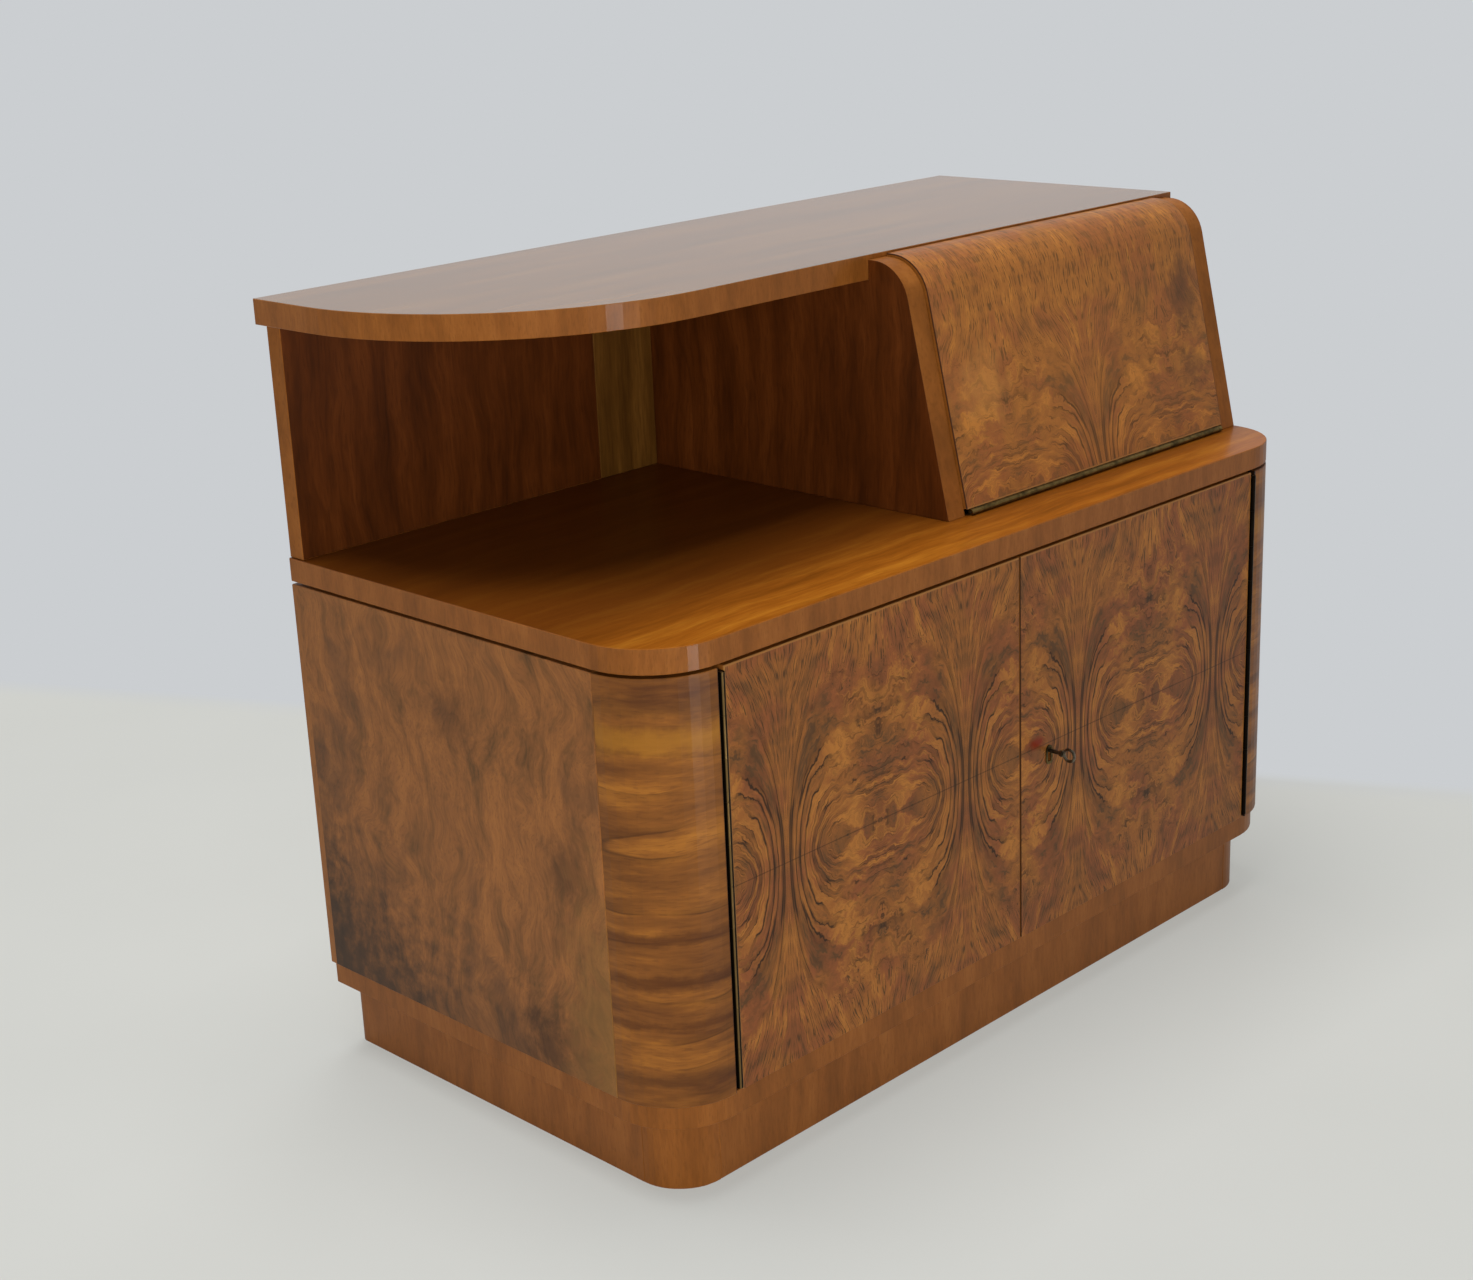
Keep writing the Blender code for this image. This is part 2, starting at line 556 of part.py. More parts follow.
def make_key():
    """Key with a ring bow, a collar and a bit that points down at rest."""
    bow_y = front_y - KEY_BOW_REACH
    tip_y = door_back_y + FIT_GAP + LOCK_DEPTH - LOCK_WALL - KEY_TIP_GAP
    key = rod("key", (key_x, bow_y + KEY_BOW_RADIUS, key_z), (key_x, tip_y, key_z),
              KEY_STEM_RADIUS, ROUND_FACETS, steel)
    bm = bmesh.new()
    bmesh.ops.create_circle(bm, segments=BOW_FACETS // 2, radius=KEY_BOW_WIRE,
                            matrix=Matrix.Translation((KEY_BOW_RADIUS, 0, 0)) @ Matrix.Rotation(SQUARE, 4, "X"))
    section = mesh_from(bm, "key_bow")
    bow = add_object("key_bow", section, None, cutters)
    turn = bow.modifiers.new("turn", "SCREW")
    turn.axis = "Z"
    turn.steps = BOW_FACETS
    turn.render_steps = BOW_FACETS
    turn.use_merge_vertices = True
    turn.merge_threshold = WELD_DISTANCE
    bow.rotation_euler = (0, SQUARE, 0)
    bow.location = (key_x, bow_y, key_z)
    fuse(key, bow)
    collar_y = bow_y + KEY_BOW_RADIUS + KEY_BOW_WIRE
    fuse(key, rod("key_collar", (key_x, collar_y, key_z), (key_x, collar_y + KEY_COLLAR_LENGTH, key_z),
                  KEY_COLLAR_RADIUS, ROUND_FACETS, collection=cutters))
    fuse(key, box("key_bit", (key_x - KEY_BIT_THICKNESS / 2, lock_bolt_y[0], key_z - KEY_BIT_RADIUS),
                  (key_x + KEY_BIT_THICKNESS / 2, lock_bolt_y[1], key_z), collection=cutters))
    carry(joint_frame("key_turn", (key_x, front_y, key_z)), [key])


def make_keeper():
    """Keeper on the left door's back that takes the lock's bolt."""
    bolt_y, bolt_z = lock_bolt_y, lock_bolt_z
    middle_z = (bolt_z[0] + bolt_z[1]) / 2
    right = left_meeting_x - KEEPER_EDGE_MARGIN
    keeper = box("lock_keeper", (right - KEEPER_LENGTH, door_back_y + FIT_GAP, middle_z - KEEPER_HEIGHT / 2),
                 (right, door_back_y + FIT_GAP + LOCK_DEPTH, middle_z + KEEPER_HEIGHT / 2), brass)
    cut(keeper, box("keeper_pocket", (right - KEEPER_LENGTH + KEEPER_END_WALL, bolt_y[0] - BOLT_CLEARANCE,
                                      bolt_z[0] - BOLT_CLEARANCE),
                    (right + OVERRUN, bolt_y[1] + BOLT_CLEARANCE, bolt_z[1] + BOLT_CLEARANCE),
                    collection=cutters))
    return keeper


def make_doors():
    """Two flush doors on piano hinges, with the lock, the keeper and the edge bolts."""
    leaf_z = door_foot_z + HINGE_END_MARGIN
    length = side_top_z - door_foot_z - 2 * HINGE_END_MARGIN
    half_gap = door_hinge_gap / 2
    left = soften(box("left_door", (left_hinge_x + half_gap, front_y, door_foot_z),
                      (left_meeting_x, door_back_y, side_top_z), walnut))
    right = soften(box("right_door", (right_meeting_x, front_y, door_foot_z),
                       (right_hinge_x - half_gap, door_back_y, side_top_z), walnut))
    left_leaf = piano_hinge("left_door_hinge", "post_leaf", "door_leaf",
                            (left_hinge_x, front_y, leaf_z), PLAN, length)[1]
    flipped = Matrix(((-1, 0, 0), (0, 1, 0), (0, 0, -1)))
    right_leaf = piano_hinge("right_door_hinge", "post_leaf", "door_leaf",
                             (right_hinge_x, front_y, leaf_z + length), flipped, length)[1]
    upper_plate = make_edge_bolt("upper_bolt", left, side_top_z, 1)
    lower_plate = make_edge_bolt("lower_bolt", left, door_foot_z, -1)
    keeper = make_keeper()
    case = make_lock(right)
    carry(joint_frame("left_door_swing", (left_hinge_x, front_y, door_foot_z)),
          [left, left_leaf, upper_plate, lower_plate, keeper])
    carry(joint_frame("right_door_swing", (right_hinge_x, front_y, door_foot_z)),
          [right, right_leaf, case, bpy.data.objects["escutcheon"]])


def shoulder(offset):
    """Front line of the bar, from its foot over the rounded shoulder, moved out by offset."""
    top = top_face_z - BAR_SHOULDER_DROP
    slope = Vector((math.sin(BAR_SLOPE), math.cos(BAR_SLOPE)))
    outward = Vector((-math.cos(BAR_SLOPE), math.sin(BAR_SLOPE)))
    foot = Vector((bar_foot_y, worktop_top_z))
    centre_z = top - BAR_SHOULDER_RADIUS
    tangent_z = centre_z + BAR_SHOULDER_RADIUS * math.sin(BAR_SLOPE)
    tangent = foot + slope * (tangent_z - foot.y) / slope.y
    centre = tangent - outward * BAR_SHOULDER_RADIUS
    bend = arc(centre, BAR_SHOULDER_RADIUS + offset, STRAIGHT - BAR_SLOPE, SQUARE)
    return foot + outward * offset, slope, bend


def make_bar():
    """Side panels with a sloping, round-shouldered front edge, and the thin back between them."""
    foot, slope, bend = shoulder(0)
    low_z = worktop_top_z + FIT_GAP
    start = foot + slope * (low_z - foot.y) / slope.y
    notch_y = top_front_y - NOTCH_GAP
    outline = ([(back_y, top_z - FIT_GAP), (back_y, low_z), tuple(start)] + bend
               + [(notch_y, bend[-1][1]), (notch_y, top_z - FIT_GAP)])
    for name, low_x in (("bar_left_side", bar_left_x), ("bar_right_side", bar_right_x - BAR_SIDE)):
        soften(slab(name, [outline[::-1]], PROFILE, (low_x + BAR_SIDE / 2, 0, 0), BAR_SIDE, walnut))
    box("bar_back", (bar_inner_left_x + FIT_GAP, back_y - BAR_BACK, low_z),
        (bar_inner_right_x - FIT_GAP, back_y, top_z - FIT_GAP), inner_wood)


def make_niche():
    """Thick back panel of the open niche, and the narrow pale board that closes it to the bar."""
    low_z, high_z = worktop_top_z + FIT_GAP, top_z - FIT_GAP
    infill_x = bar_left_x - FIT_GAP - INFILL_WIDTH
    soften(box("niche_back", (left_x + UPPER_INSET, back_y - NICHE_PANEL, low_z),
               (infill_x - FIT_GAP, back_y, high_z), dark_walnut))
    soften(box("niche_back_infill", (infill_x, back_y - NICHE_PANEL, low_z),
               (bar_left_x - FIT_GAP, back_y, high_z), sapwood))


def make_top():
    """Top board with one large quarter-round corner over the open niche."""
    low_x, high_x = left_x - TOP_OVERHANG, right_x + TOP_OVERHANG
    outline = ([(high_x, back_y), (low_x, back_y)]
               + arc((low_x + TOP_CORNER_RADIUS, top_front_y + TOP_CORNER_RADIUS), TOP_CORNER_RADIUS,
                     STRAIGHT, STRAIGHT + SQUARE, ARC_STEP / 2)
               + [(high_x, top_front_y)])
    soften(slab("top_board", [outline], PLAN, (0, 0, (top_z + top_face_z) / 2), TOP_BOARD, walnut))


def make_flap():
    """Curved fall front: a bent board that turns on a piano hinge along its foot."""
    foot, slope, outer_bend = shoulder(FLAP_PROUD)
    inner_foot, inner_slope, inner_bend = shoulder(FLAP_PROUD - FLAP_BOARD)
    start = foot + slope * (flap_foot_z - foot.y) / slope.y
    inner_start = inner_foot + inner_slope * (flap_foot_z - inner_foot.y) / inner_slope.y
    end_y = top_front_y - FLAP_TOP_GAP
    outline = ([tuple(start), tuple(inner_start)] + inner_bend + [(end_y, inner_bend[-1][1]),
               (end_y, outer_bend[-1][1])] + outer_bend[::-1])
    low_x, high_x = bar_inner_left_x + FLAP_SIDE_GAP, bar_inner_right_x - FLAP_SIDE_GAP
    flap = soften(slab("flap", [outline], PROFILE, ((low_x + high_x) / 2, 0, 0), high_x - low_x, walnut))
    axis = foot + slope * (flap_hinge_z - foot.y) / slope.y
    length = high_x - low_x - 2 * HINGE_END_MARGIN
    leaf = piano_hinge("flap_hinge", "worktop_leaf", "flap_leaf",
                       (high_x - HINGE_END_MARGIN, axis.x, axis.y), FLAP_HINGE, length)[1]
    carry(joint_frame("flap_fall", (0, axis.x, axis.y)), [flap, leaf])


make_plinth()
make_base_and_worktop()
make_carcass()
make_doors()
make_niche()
make_bar()
make_top()
make_flap()
bpy.context.view_layer.update()
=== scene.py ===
"""Looks of the walnut bar cabinet: veneers, lippings, brass, screws and a plain studio."""

import math
from functools import cached_property, partial

import bmesh
import bpy
from bpy.props import FloatProperty, FloatVectorProperty, IntProperty, PointerProperty
from mathutils import Matrix, Vector


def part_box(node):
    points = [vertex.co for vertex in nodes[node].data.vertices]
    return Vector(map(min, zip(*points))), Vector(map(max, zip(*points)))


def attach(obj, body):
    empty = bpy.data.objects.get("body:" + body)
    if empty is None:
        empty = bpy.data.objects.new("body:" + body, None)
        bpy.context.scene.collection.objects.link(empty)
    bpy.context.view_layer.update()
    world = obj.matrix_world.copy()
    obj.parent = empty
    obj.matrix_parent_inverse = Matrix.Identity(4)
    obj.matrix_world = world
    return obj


bl_info = {
    "name": "Walnut Bar Cabinet",
    "version": (1, 0, 0),
    "blender": (4, 5, 0),
    "location": "3D View > Sidebar > Cabinet",
    "description": "Veneers, fittings and studio of a walnut bar cabinet with round corners",
    "category": "Object",
}

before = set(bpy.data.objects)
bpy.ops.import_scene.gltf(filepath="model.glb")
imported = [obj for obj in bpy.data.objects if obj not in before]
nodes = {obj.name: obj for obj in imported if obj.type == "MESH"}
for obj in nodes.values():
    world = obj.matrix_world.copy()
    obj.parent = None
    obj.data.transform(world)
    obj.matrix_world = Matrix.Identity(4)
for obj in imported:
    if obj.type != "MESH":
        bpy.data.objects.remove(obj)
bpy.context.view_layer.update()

# Kinds of nodes and sockets that come up again and again
VECTOR = "ShaderNodeVectorMath"
RANGE = "ShaderNodeMapRange"
MIX = "ShaderNodeMix"
NOISE = "ShaderNodeTexNoise"
JOIN = "ShaderNodeCombineXYZ"
SPLIT = "ShaderNodeSeparateXYZ"
GROUP = "ShaderNodeGroup"
VALUES = "NodeSocketFloat"
VECTORS = "NodeSocketVector"
COLOURS = "NodeSocketColor"
SMOOTH = {"interpolation_type": "SMOOTHSTEP"}
RGBA = {"data_type": "RGBA"}
NOISE_MIDDLE = 0.5

# Figured leaves of the doors and the flap, read from the front, in metres
FIGURE_HEIGHT = 0.1823        # height over the cross seam at which a ring would fill the whole leaf
RING_CROWDING = 0.72          # below 1, the rings crowd towards the feather
LEFT_FEATHER = -0.345
LEFT_LEAF = 0.129
RIGHT_FEATHER = 0.097
RIGHT_LEAF = 0.1255
CROSS_SEAM = 0.305
SEAM_LINE = (0.0002, 0.0009)  # where the hairline joint between two leaves starts and ends to fade
FLAP_FEATHER = 0.245
FLAP_LEAF = 0.1435
FLAP_SLOPE = math.radians(12.5)
FLAP_BEND = 0.048             # outer radius of the flap's shoulder
SHOULDER_SHARE = 0.75         # of the run over the shoulder that counts as height of the figure
FRONT_SKIN = 0.0014           # how deep the figured veneer of a front reaches

# Edges of boards and fronts
LIPPING = 0.0016              # thin pale lipping round the doors and the flap
STRIP_FADE = (0.8, 1.2)       # shares of a strip's width between which it fades
ARRIS = 0.0009                # width of the softened edges of the boards
FACE_MARGIN = 0.3 * ARRIS     # how far a face's veneer reaches over the softened edge
DOOR_GAP_SHADE = 0.0006           # painted shade, dark lines where the doors meet
FLAP_GAP_SHADE = 0.0007           # and where the flap meets the bar's sides
POST_GAP_SHADE = (0.0008, 0.0016)  # painted shade, a dark line on a post beside its hinge: full up to here, gone from there on
BACK_EDGE = 0.010             # how far the plain back edge of a side reaches to the front
TOP_BOARD_SHADOW = (-0.235, -0.10)  # depths between which the top board's shade on the worktop begins

# Wood rubbed raw beside the keyhole: left of and above the escutcheon, and its size
RUBBED_LEFT = 0.014
RUBBED_ABOVE = 0.008
RUBBED_SIZE = (0.017, 0, 0.008)

# Ragged patches of the sides: depth from the back or front edge or from the middle, height (0 is the side's
# foot), reach to the back and front, reach up and down, colour and strength
BACK, MIDDLE, FRONT = range(3)
SIDE_PATCHES = (
    (BACK, 0, 0, 0.24, 0.20, "2A2119", 0.8), (MIDDLE, 0.05, 0, 0.26, 0.08, "33251A", 0.35),
    (BACK, 0, 0.25, 0.05, 0.20, "33251A", 0.45), (MIDDLE, -0.115, 0.31, 0.035, 0.045, "35200F", 0.5),
    (MIDDLE, -0.075, 0.13, 0.05, 0.05, "35200F", 0.6), (FRONT, 0, 0.15, 0.075, 0.20, "8A622D", 0.55),
    (MIDDLE, 0.04, 0.43, 0.05, 0.05, "42270F", 0.35))
# Dark and golden streaks round the posts: height, reach up and down, colour and strength
POST_STREAKS = (
    (0.487, 0.016, "4A2A12", 0.5), (0.455, 0.018, "A9701F", 0.6), (0.268, 0.008, "4A260E", 0.6),
    (0.225, 0.010, "4A260E", 0.7), (0.182, 0.007, "4A260E", 0.6), (0.127, 0.009, "4A2A12", 0.5))

# Finishes: roughness of the wood, and weight and roughness of the polish on it
SATIN = (0.45, 0.2, 0.16)
POST_SATIN = (0.45, 0.24, 0.34)
INSIDE_SATIN = (0.5, 0.05, 0.3)
MATT = (0.6, 0.0, 0.5)
POLISH = 1.0                  # weight of the polish on the top board's face
VARNISH_IOR = 1.5
WOOD_SHINE = 0.08             # specular level of the wood under its polish
GRAIN_DEPTH = 0.0004          # depth of the grain under the varnish
GRAIN_STRENGTH = 0.15
FIGURE_STRENGTH = 0.12        # figured veneers are sanded smoother

# Piano hinges: how far a leaf's face lies from the pin's axis, the place of its screws, and the painted
# highlight along the knuckles with painted shade beside it
HINGE_FACE = 0.0022
HINGE_ROW = 0.0065            # from the leaf's free edge
HINGE_END = 0.018             # from the leaf's ends
HIGHLIGHT_PLACE = 0.0014           # from the pin's axis towards the post
HIGHLIGHT_HALF = (0.0005, 0.0010)  # half the painted highlight's width: bright up to here, painted shade from there on
KNUCKLES_BEHIND = 0.001       # the knuckles end this far behind the pin

# Other screws and pins: distance from the ends of the piece that they hold, and radius of their heads
END_TO_END = 1.0              # spacing of a row that has one at each end only
LOCK_INSET = 0.006
KEEPER_INSET = 0.0035
KEEPER_SCREW = 0.0016
PLATE_INSET = 0.005
PLATE_SCREW = 0.0017
ESCUTCHEON_INSET = 0.0016
ESCUTCHEON_PIN = 0.0007
BATTEN_INSET = 0.04
BACK_INSET = 0.012
SLOT_LENGTH = 1.7             # shares of a head's radius
SLOT_WIDTH = 0.24
FLUSH_SLOT = 0.2              # half a slot's width, on a head drawn on a back
HEAD_EDGE = 0.05              # how soft a drawn head's edge is
BACK_SKIN = 0.001             # drawn heads show on this outer skin of a back only

# The camera that sees the cabinet as the photograph does
CAMERA_PLACE = (-1.7320, -1.5864, 1.1542)
CAMERA_TURN = (math.radians(71.8337), math.radians(-2.4691), math.radians(-44.7948))
CAMERA_LENS = 56.18
SENSOR_WIDTH = 36

# The floor, and where its colour turns into the wall's: a line this far away in this direction
FLOOR = 8.0                   # half the length of its sides
FLOOR_NEAR = 1.15             # the floor takes light and shadow up to here, and is evenly pale beyond
FLOOR_FAR = 1.9
FLOOR_GLOW = 0.55             # the shadow near the cabinet is this much fainter, as in the photograph
WALL_WAY = (0.892, 0.451, 0)
WALL_LINE = (0.593, 0.673)


def linear(hex_colour):
    """Linear RGBA of an sRGB hex colour."""
    channels = [int(hex_colour[i:i + 2], 16) / 255 for i in (0, 2, 4)]
    return (*(c / 12.92 if c <= 0.04045 else ((c + 0.055) / 1.055) ** 2.4 for c in channels), 1.0)


def set_inputs(node, inputs):
    """Set or link a node's inputs; a node as a value stands for its first output in use."""
    for key, value in inputs.items():
        if isinstance(value, bpy.types.Node):
            value = next(output for output in value.outputs if output.enabled)
        if isinstance(value, bpy.types.NodeSocket):
            node.id_data.links.new(value, node.inputs[key])
        else:
            node.inputs[key].default_value = value


def add_node(tree, kind, *values, **names):
    """Add a node: values fill its inputs in order, capitalised names one each, and the rest are settings.

    A kind in capitals is the operation of a math node.
    """
    if kind.isupper():
        kind, names["operation"] = "ShaderNodeMath", kind
    node = tree.nodes.new(kind)
    for name, value in names.items():
        if name.islower():
            setattr(node, name, value)
    used = [index for index, socket in enumerate(node.inputs) if socket.enabled]
    set_inputs(node, dict(zip(used, values)))
    set_inputs(node, {name.replace("_", " "): value for name, value in names.items() if not name.islower()})
    return node


def new_group(name, inputs, outputs, kind="ShaderNodeTree"):
    """Node group whose inputs and outputs are listed by kind of socket, and what it is filled with."""
    tree = bpy.data.node_groups.new(name, kind)
    for way, sockets in (("INPUT", inputs), ("OUTPUT", outputs)):
        for socket_type, labels in sockets.items():
            for label in labels.split():
                tree.interface.new_socket(label, in_out=way, socket_type=socket_type)
    given = tree.nodes.new("NodeGroupInput").outputs
    return tree, partial(add_node, tree), given, tree.nodes.new("NodeGroupOutput")


class Surface:
    """A new material, and the Object coordinates that its patterns are drawn in."""

    def __init__(self, name):
        self.material = bpy.data.materials.new(name)
        self.material.use_nodes = True
        self.tree = self.material.node_tree
        self.shader = self.tree.nodes["Principled BSDF"]
        self.add = partial(add_node, self.tree)
        self.place = self.add("ShaderNodeTexCoord").outputs["Object"]

    @cached_property
    def axis(self):
        return self.add(SPLIT, self.place).outputs

    def varnish(self, colour, grain, finish, strength=GRAIN_STRENGTH):
        """Hand-polished varnish: a soft sheen with a sharper skin, through which the grain can be felt."""
        roughness, coat, coat_roughness = finish
        bump = self.add("ShaderNodeBump", Height=grain, Strength=strength, Distance=GRAIN_DEPTH)
        set_inputs(self.shader, {"Base Color": colour, "Normal": bump, "Roughness": roughness,
                                 "IOR": VARNISH_IOR, "Specular IOR Level": WOOD_SHINE, "Coat Weight": coat,
                                 "Coat Roughness": coat_roughness})

    def dress(self, *names):
        for name in names:
            nodes[name].material_slots[0].material = self.material


def sway(add, value, noise, amount):
    """A value moved both ways by an amount of noise."""
    centred = add("SUBTRACT", noise, NOISE_MIDDLE)
    return add("MULTIPLY_ADD", centred, amount, value)


def flow_noise(add, flow, stretch, **looks):
    """Noise drawn out along the flow of the growth; stretch counts its blots across and along."""
    place = add(VECTOR, flow, (*stretch, 1.0), operation="MULTIPLY")
    return add(NOISE, place, Scale=1.0, noise_dimensions="2D", **looks)


def growth_line(add, noise, core, darkness, halo):
    """Line where noise crosses its middle, shading off to one side; core and halo say where both fade."""
    off_line = add("SUBTRACT", noise, NOISE_MIDDLE)
    distance = add("ABSOLUTE", off_line)
    line = add(RANGE, distance, *core, darkness, 0.0, **SMOOTH)
    soft = add(RANGE, distance, *halo, 0.6, 0.0)
    one_side = add("GREATER_THAN", off_line, 0.0)
    soft_part = add("MULTIPLY", soft, one_side)
    return add("MAXIMUM", line, soft_part)


def three_tones(add, low, high, deep, ground, pale):
    dark_part = add(MIX, low, deep, ground, **RGBA)
    return add(MIX, high, dark_part, pale, **RGBA)


def leaf_figure_group():
    """Growth lines of one crotch leaf: squarish rings round its far edge, and plumes beyond the rings."""
    tree, add, given, made = new_group("Crotch leaf", {VALUES: "Across Up Leaf", VECTORS: "Place"},
                                       {VALUES: "Ring Run Plume Beyond Share"})
    share = add("DIVIDE", given["Across"], given["Leaf"], use_clamp=True)
    crowded = add("POWER", share, RING_CROWDING)
    side = add("SUBTRACT", 1.0, crowded)
    height = add("DIVIDE", given["Up"], FIGURE_HEIGHT)
    side_power = add("POWER", side, 4.0)
    height_power = add("POWER", height, 1.63)
    total = add("ADD", side_power, height_power)
    radius = add("POWER", total, 0.25)
    run = add("ARCTAN2", height, side)
    # The rings dip in a notch where two leaves meet over them
    notch = add(RANGE, share, From_Min=0.80, To_Max=0.035, **SMOOTH)
    notched = add("ADD", radius, notch)
    # Burr inside the rings breaks them into scallops 19 mm wide; beside the feather they run clean
    place = add(JOIN, given["Across"], given["Up"])
    scallops = add(NOISE, place, Scale=1 / 0.019, Detail=3.0, Roughness=0.55, noise_dimensions="2D")
    amount = add(RANGE, share, 0.12, 0.55, 0.008, 0.13, **SMOOTH)
    scalloped = sway(add, notched, scallops, amount)
    # No two leaves of a set are quite the same
    drift = add(NOISE, given["Place"], Scale=1 / 0.045, Detail=1.0)
    ring = sway(add, scalloped, drift, 0.025)
    # Plumes fan out above the rings: the strokes spread with height and end upright
    spread = add(RANGE, given["Up"], 0.03, 0.20, 3.0, 1.0)
    inverse = add("DIVIDE", 1.0, spread)
    fan = add("POWER", share, inverse)
    plume = sway(add, fan, drift, 0.10)
    # Flame-shaped fingers, 12 mm wide and 45 mm tall, where the rings give way to the plumes
    fingers = flow_noise(add, place, (1 / 0.012, 1 / 0.045), Detail=2.0)
    reach = add(RANGE, share, 0.05, 0.35, 0.0, 0.15)
    with_fingers = sway(add, ring, fingers, reach)
    beyond = add(RANGE, with_fingers, 0.915, 0.955, **SMOOTH)
    # Towards the heart the rings give way to flat, ragged layers of burr
    heart = add(RANGE, radius, 0.66, 0.36, **SMOOTH)
    layer_part = add("MULTIPLY_ADD", height, 0.9, 0.06)
    layer = sway(add, layer_part, scallops, 0.22)
    ring_or_layer = add(MIX, heart, ring, layer)
    along_layer = add("MULTIPLY", share, 1.3)
    flow_run = add(MIX, heart, run, along_layer)
    set_inputs(made, {"Ring": ring_or_layer, "Run": flow_run, "Plume": plume, "Beyond": beyond,
                      "Share": share})
    return tree


def figured_walnut_group(leaf_figure):
    """Colour of crotch walnut from its growth lines: ground tone, fibres, pore dashes, dark lines."""
    _, add, given, made = new_group(
        "Crotch walnut",
        {VALUES: "Across Up Leaf", VECTORS: "Place", COLOURS: "Pale Ground Rose Deep Line"},
        {COLOURS: "Colour", VALUES: "Relief"})
    figure = add(GROUP, given["Across"], given["Up"], given["Leaf"], given["Place"],
                 node_tree=leaf_figure).outputs
    beyond = figure["Beyond"]
    rings = add(JOIN, figure["Ring"], figure["Run"])
    plumes = add(JOIN, figure["Plume"], given["Up"])
    # Ground: bands that follow the growth, and soft clouds 55 mm across that don't match from leaf to leaf
    bands = flow_noise(add, rings, (11.0, 1.8), Detail=3.0, Roughness=0.6)
    tufts = flow_noise(add, plumes, (13.0, 20.0), Detail=3.0, Roughness=0.6)
    calm_tufts = add("MULTIPLY_ADD", tufts, 0.62, 0.19)
    shade = add(MIX, beyond, bands, calm_tufts)
    clouds = add(NOISE, given["Place"], Scale=1 / 0.055, Detail=2.0)
    # Fibres about 1.5 mm wide, drawn coarser than life so that they show
    ring_fibre = add(VECTOR, rings, (90.0, 8.0, 1.0), operation="MULTIPLY")
    plume_fibre = add(VECTOR, plumes, (92.0, 52.0, 1.0), operation="MULTIPLY")
    fibre_place = add(MIX, beyond, ring_fibre, plume_fibre, data_type="VECTOR")
    fibres = add(NOISE, fibre_place, Scale=1.0, Detail=2.0, noise_dimensions="2D")
    half_shade = add("MULTIPLY_ADD", shade, 0.62, 0.07)
    with_clouds = add("MULTIPLY_ADD", clouds, 0.24, half_shade)
    tone = sway(add, with_clouds, fibres, 0.30)
    low = add(RANGE, tone, 0.33, 0.49, **SMOOTH)
    high = add(RANGE, tone, 0.49, 0.63, **SMOOTH)
    # Rosy and golden zones lie side by side
    hue = add("ShaderNodeSeparateColor", clouds.outputs["Color"])
    rosy = add(RANGE, hue.outputs["Green"], 0.42, 0.60, **SMOOTH)
    ground = add(MIX, rosy, given["Ground"], given["Rose"], **RGBA)
    wood = three_tones(add, low, high, given["Deep"], ground, given["Pale"])
    # Dark strokes: long ones in the plumes, short pore dashes inside the rings
    stroke_amount = add(MIX, beyond, 0.4, 0.95)
    strokes = add(RANGE, fibres, 0.54, 0.64, 0.0, stroke_amount)
    stroke_colour = add(MIX, 0.45, given["Deep"], given["Line"], **RGBA)
    stroked = add(MIX, strokes, wood, stroke_colour, **RGBA)
    # Dark growth lines, 1 mm wide and 4 to 9 mm apart, that fade in and out and shade off to one side
    line_noise = flow_noise(add, rings, (17.0, 0.7), Detail=2.0, Roughness=0.45)
    width = add(RANGE, figure["Share"], 0.03, 0.35, 0.11, 0.05)
    line = growth_line(add, line_noise, (0.006, width), 1.0, (0.02, 0.15))
    fade_noise = flow_noise(add, rings, (6.0, 3.4), Detail=2.0)
    fade = add(RANGE, fade_noise, 0.38, 0.60, 0.0, 0.75)
    near = add(RANGE, figure["Share"], 0.15, 0.5, 0.8, 0.05)
    strength = add("ADD", fade, near, use_clamp=True)
    inside = add("SUBTRACT", 1.0, beyond)
    kept = add("MULTIPLY", strength, inside)
    line_part = add("MULTIPLY", line, kept)
    lined = add(MIX, line_part, stroked, given["Line"], **RGBA)
    set_inputs(made, {"Colour": lined, "Relief": tone})


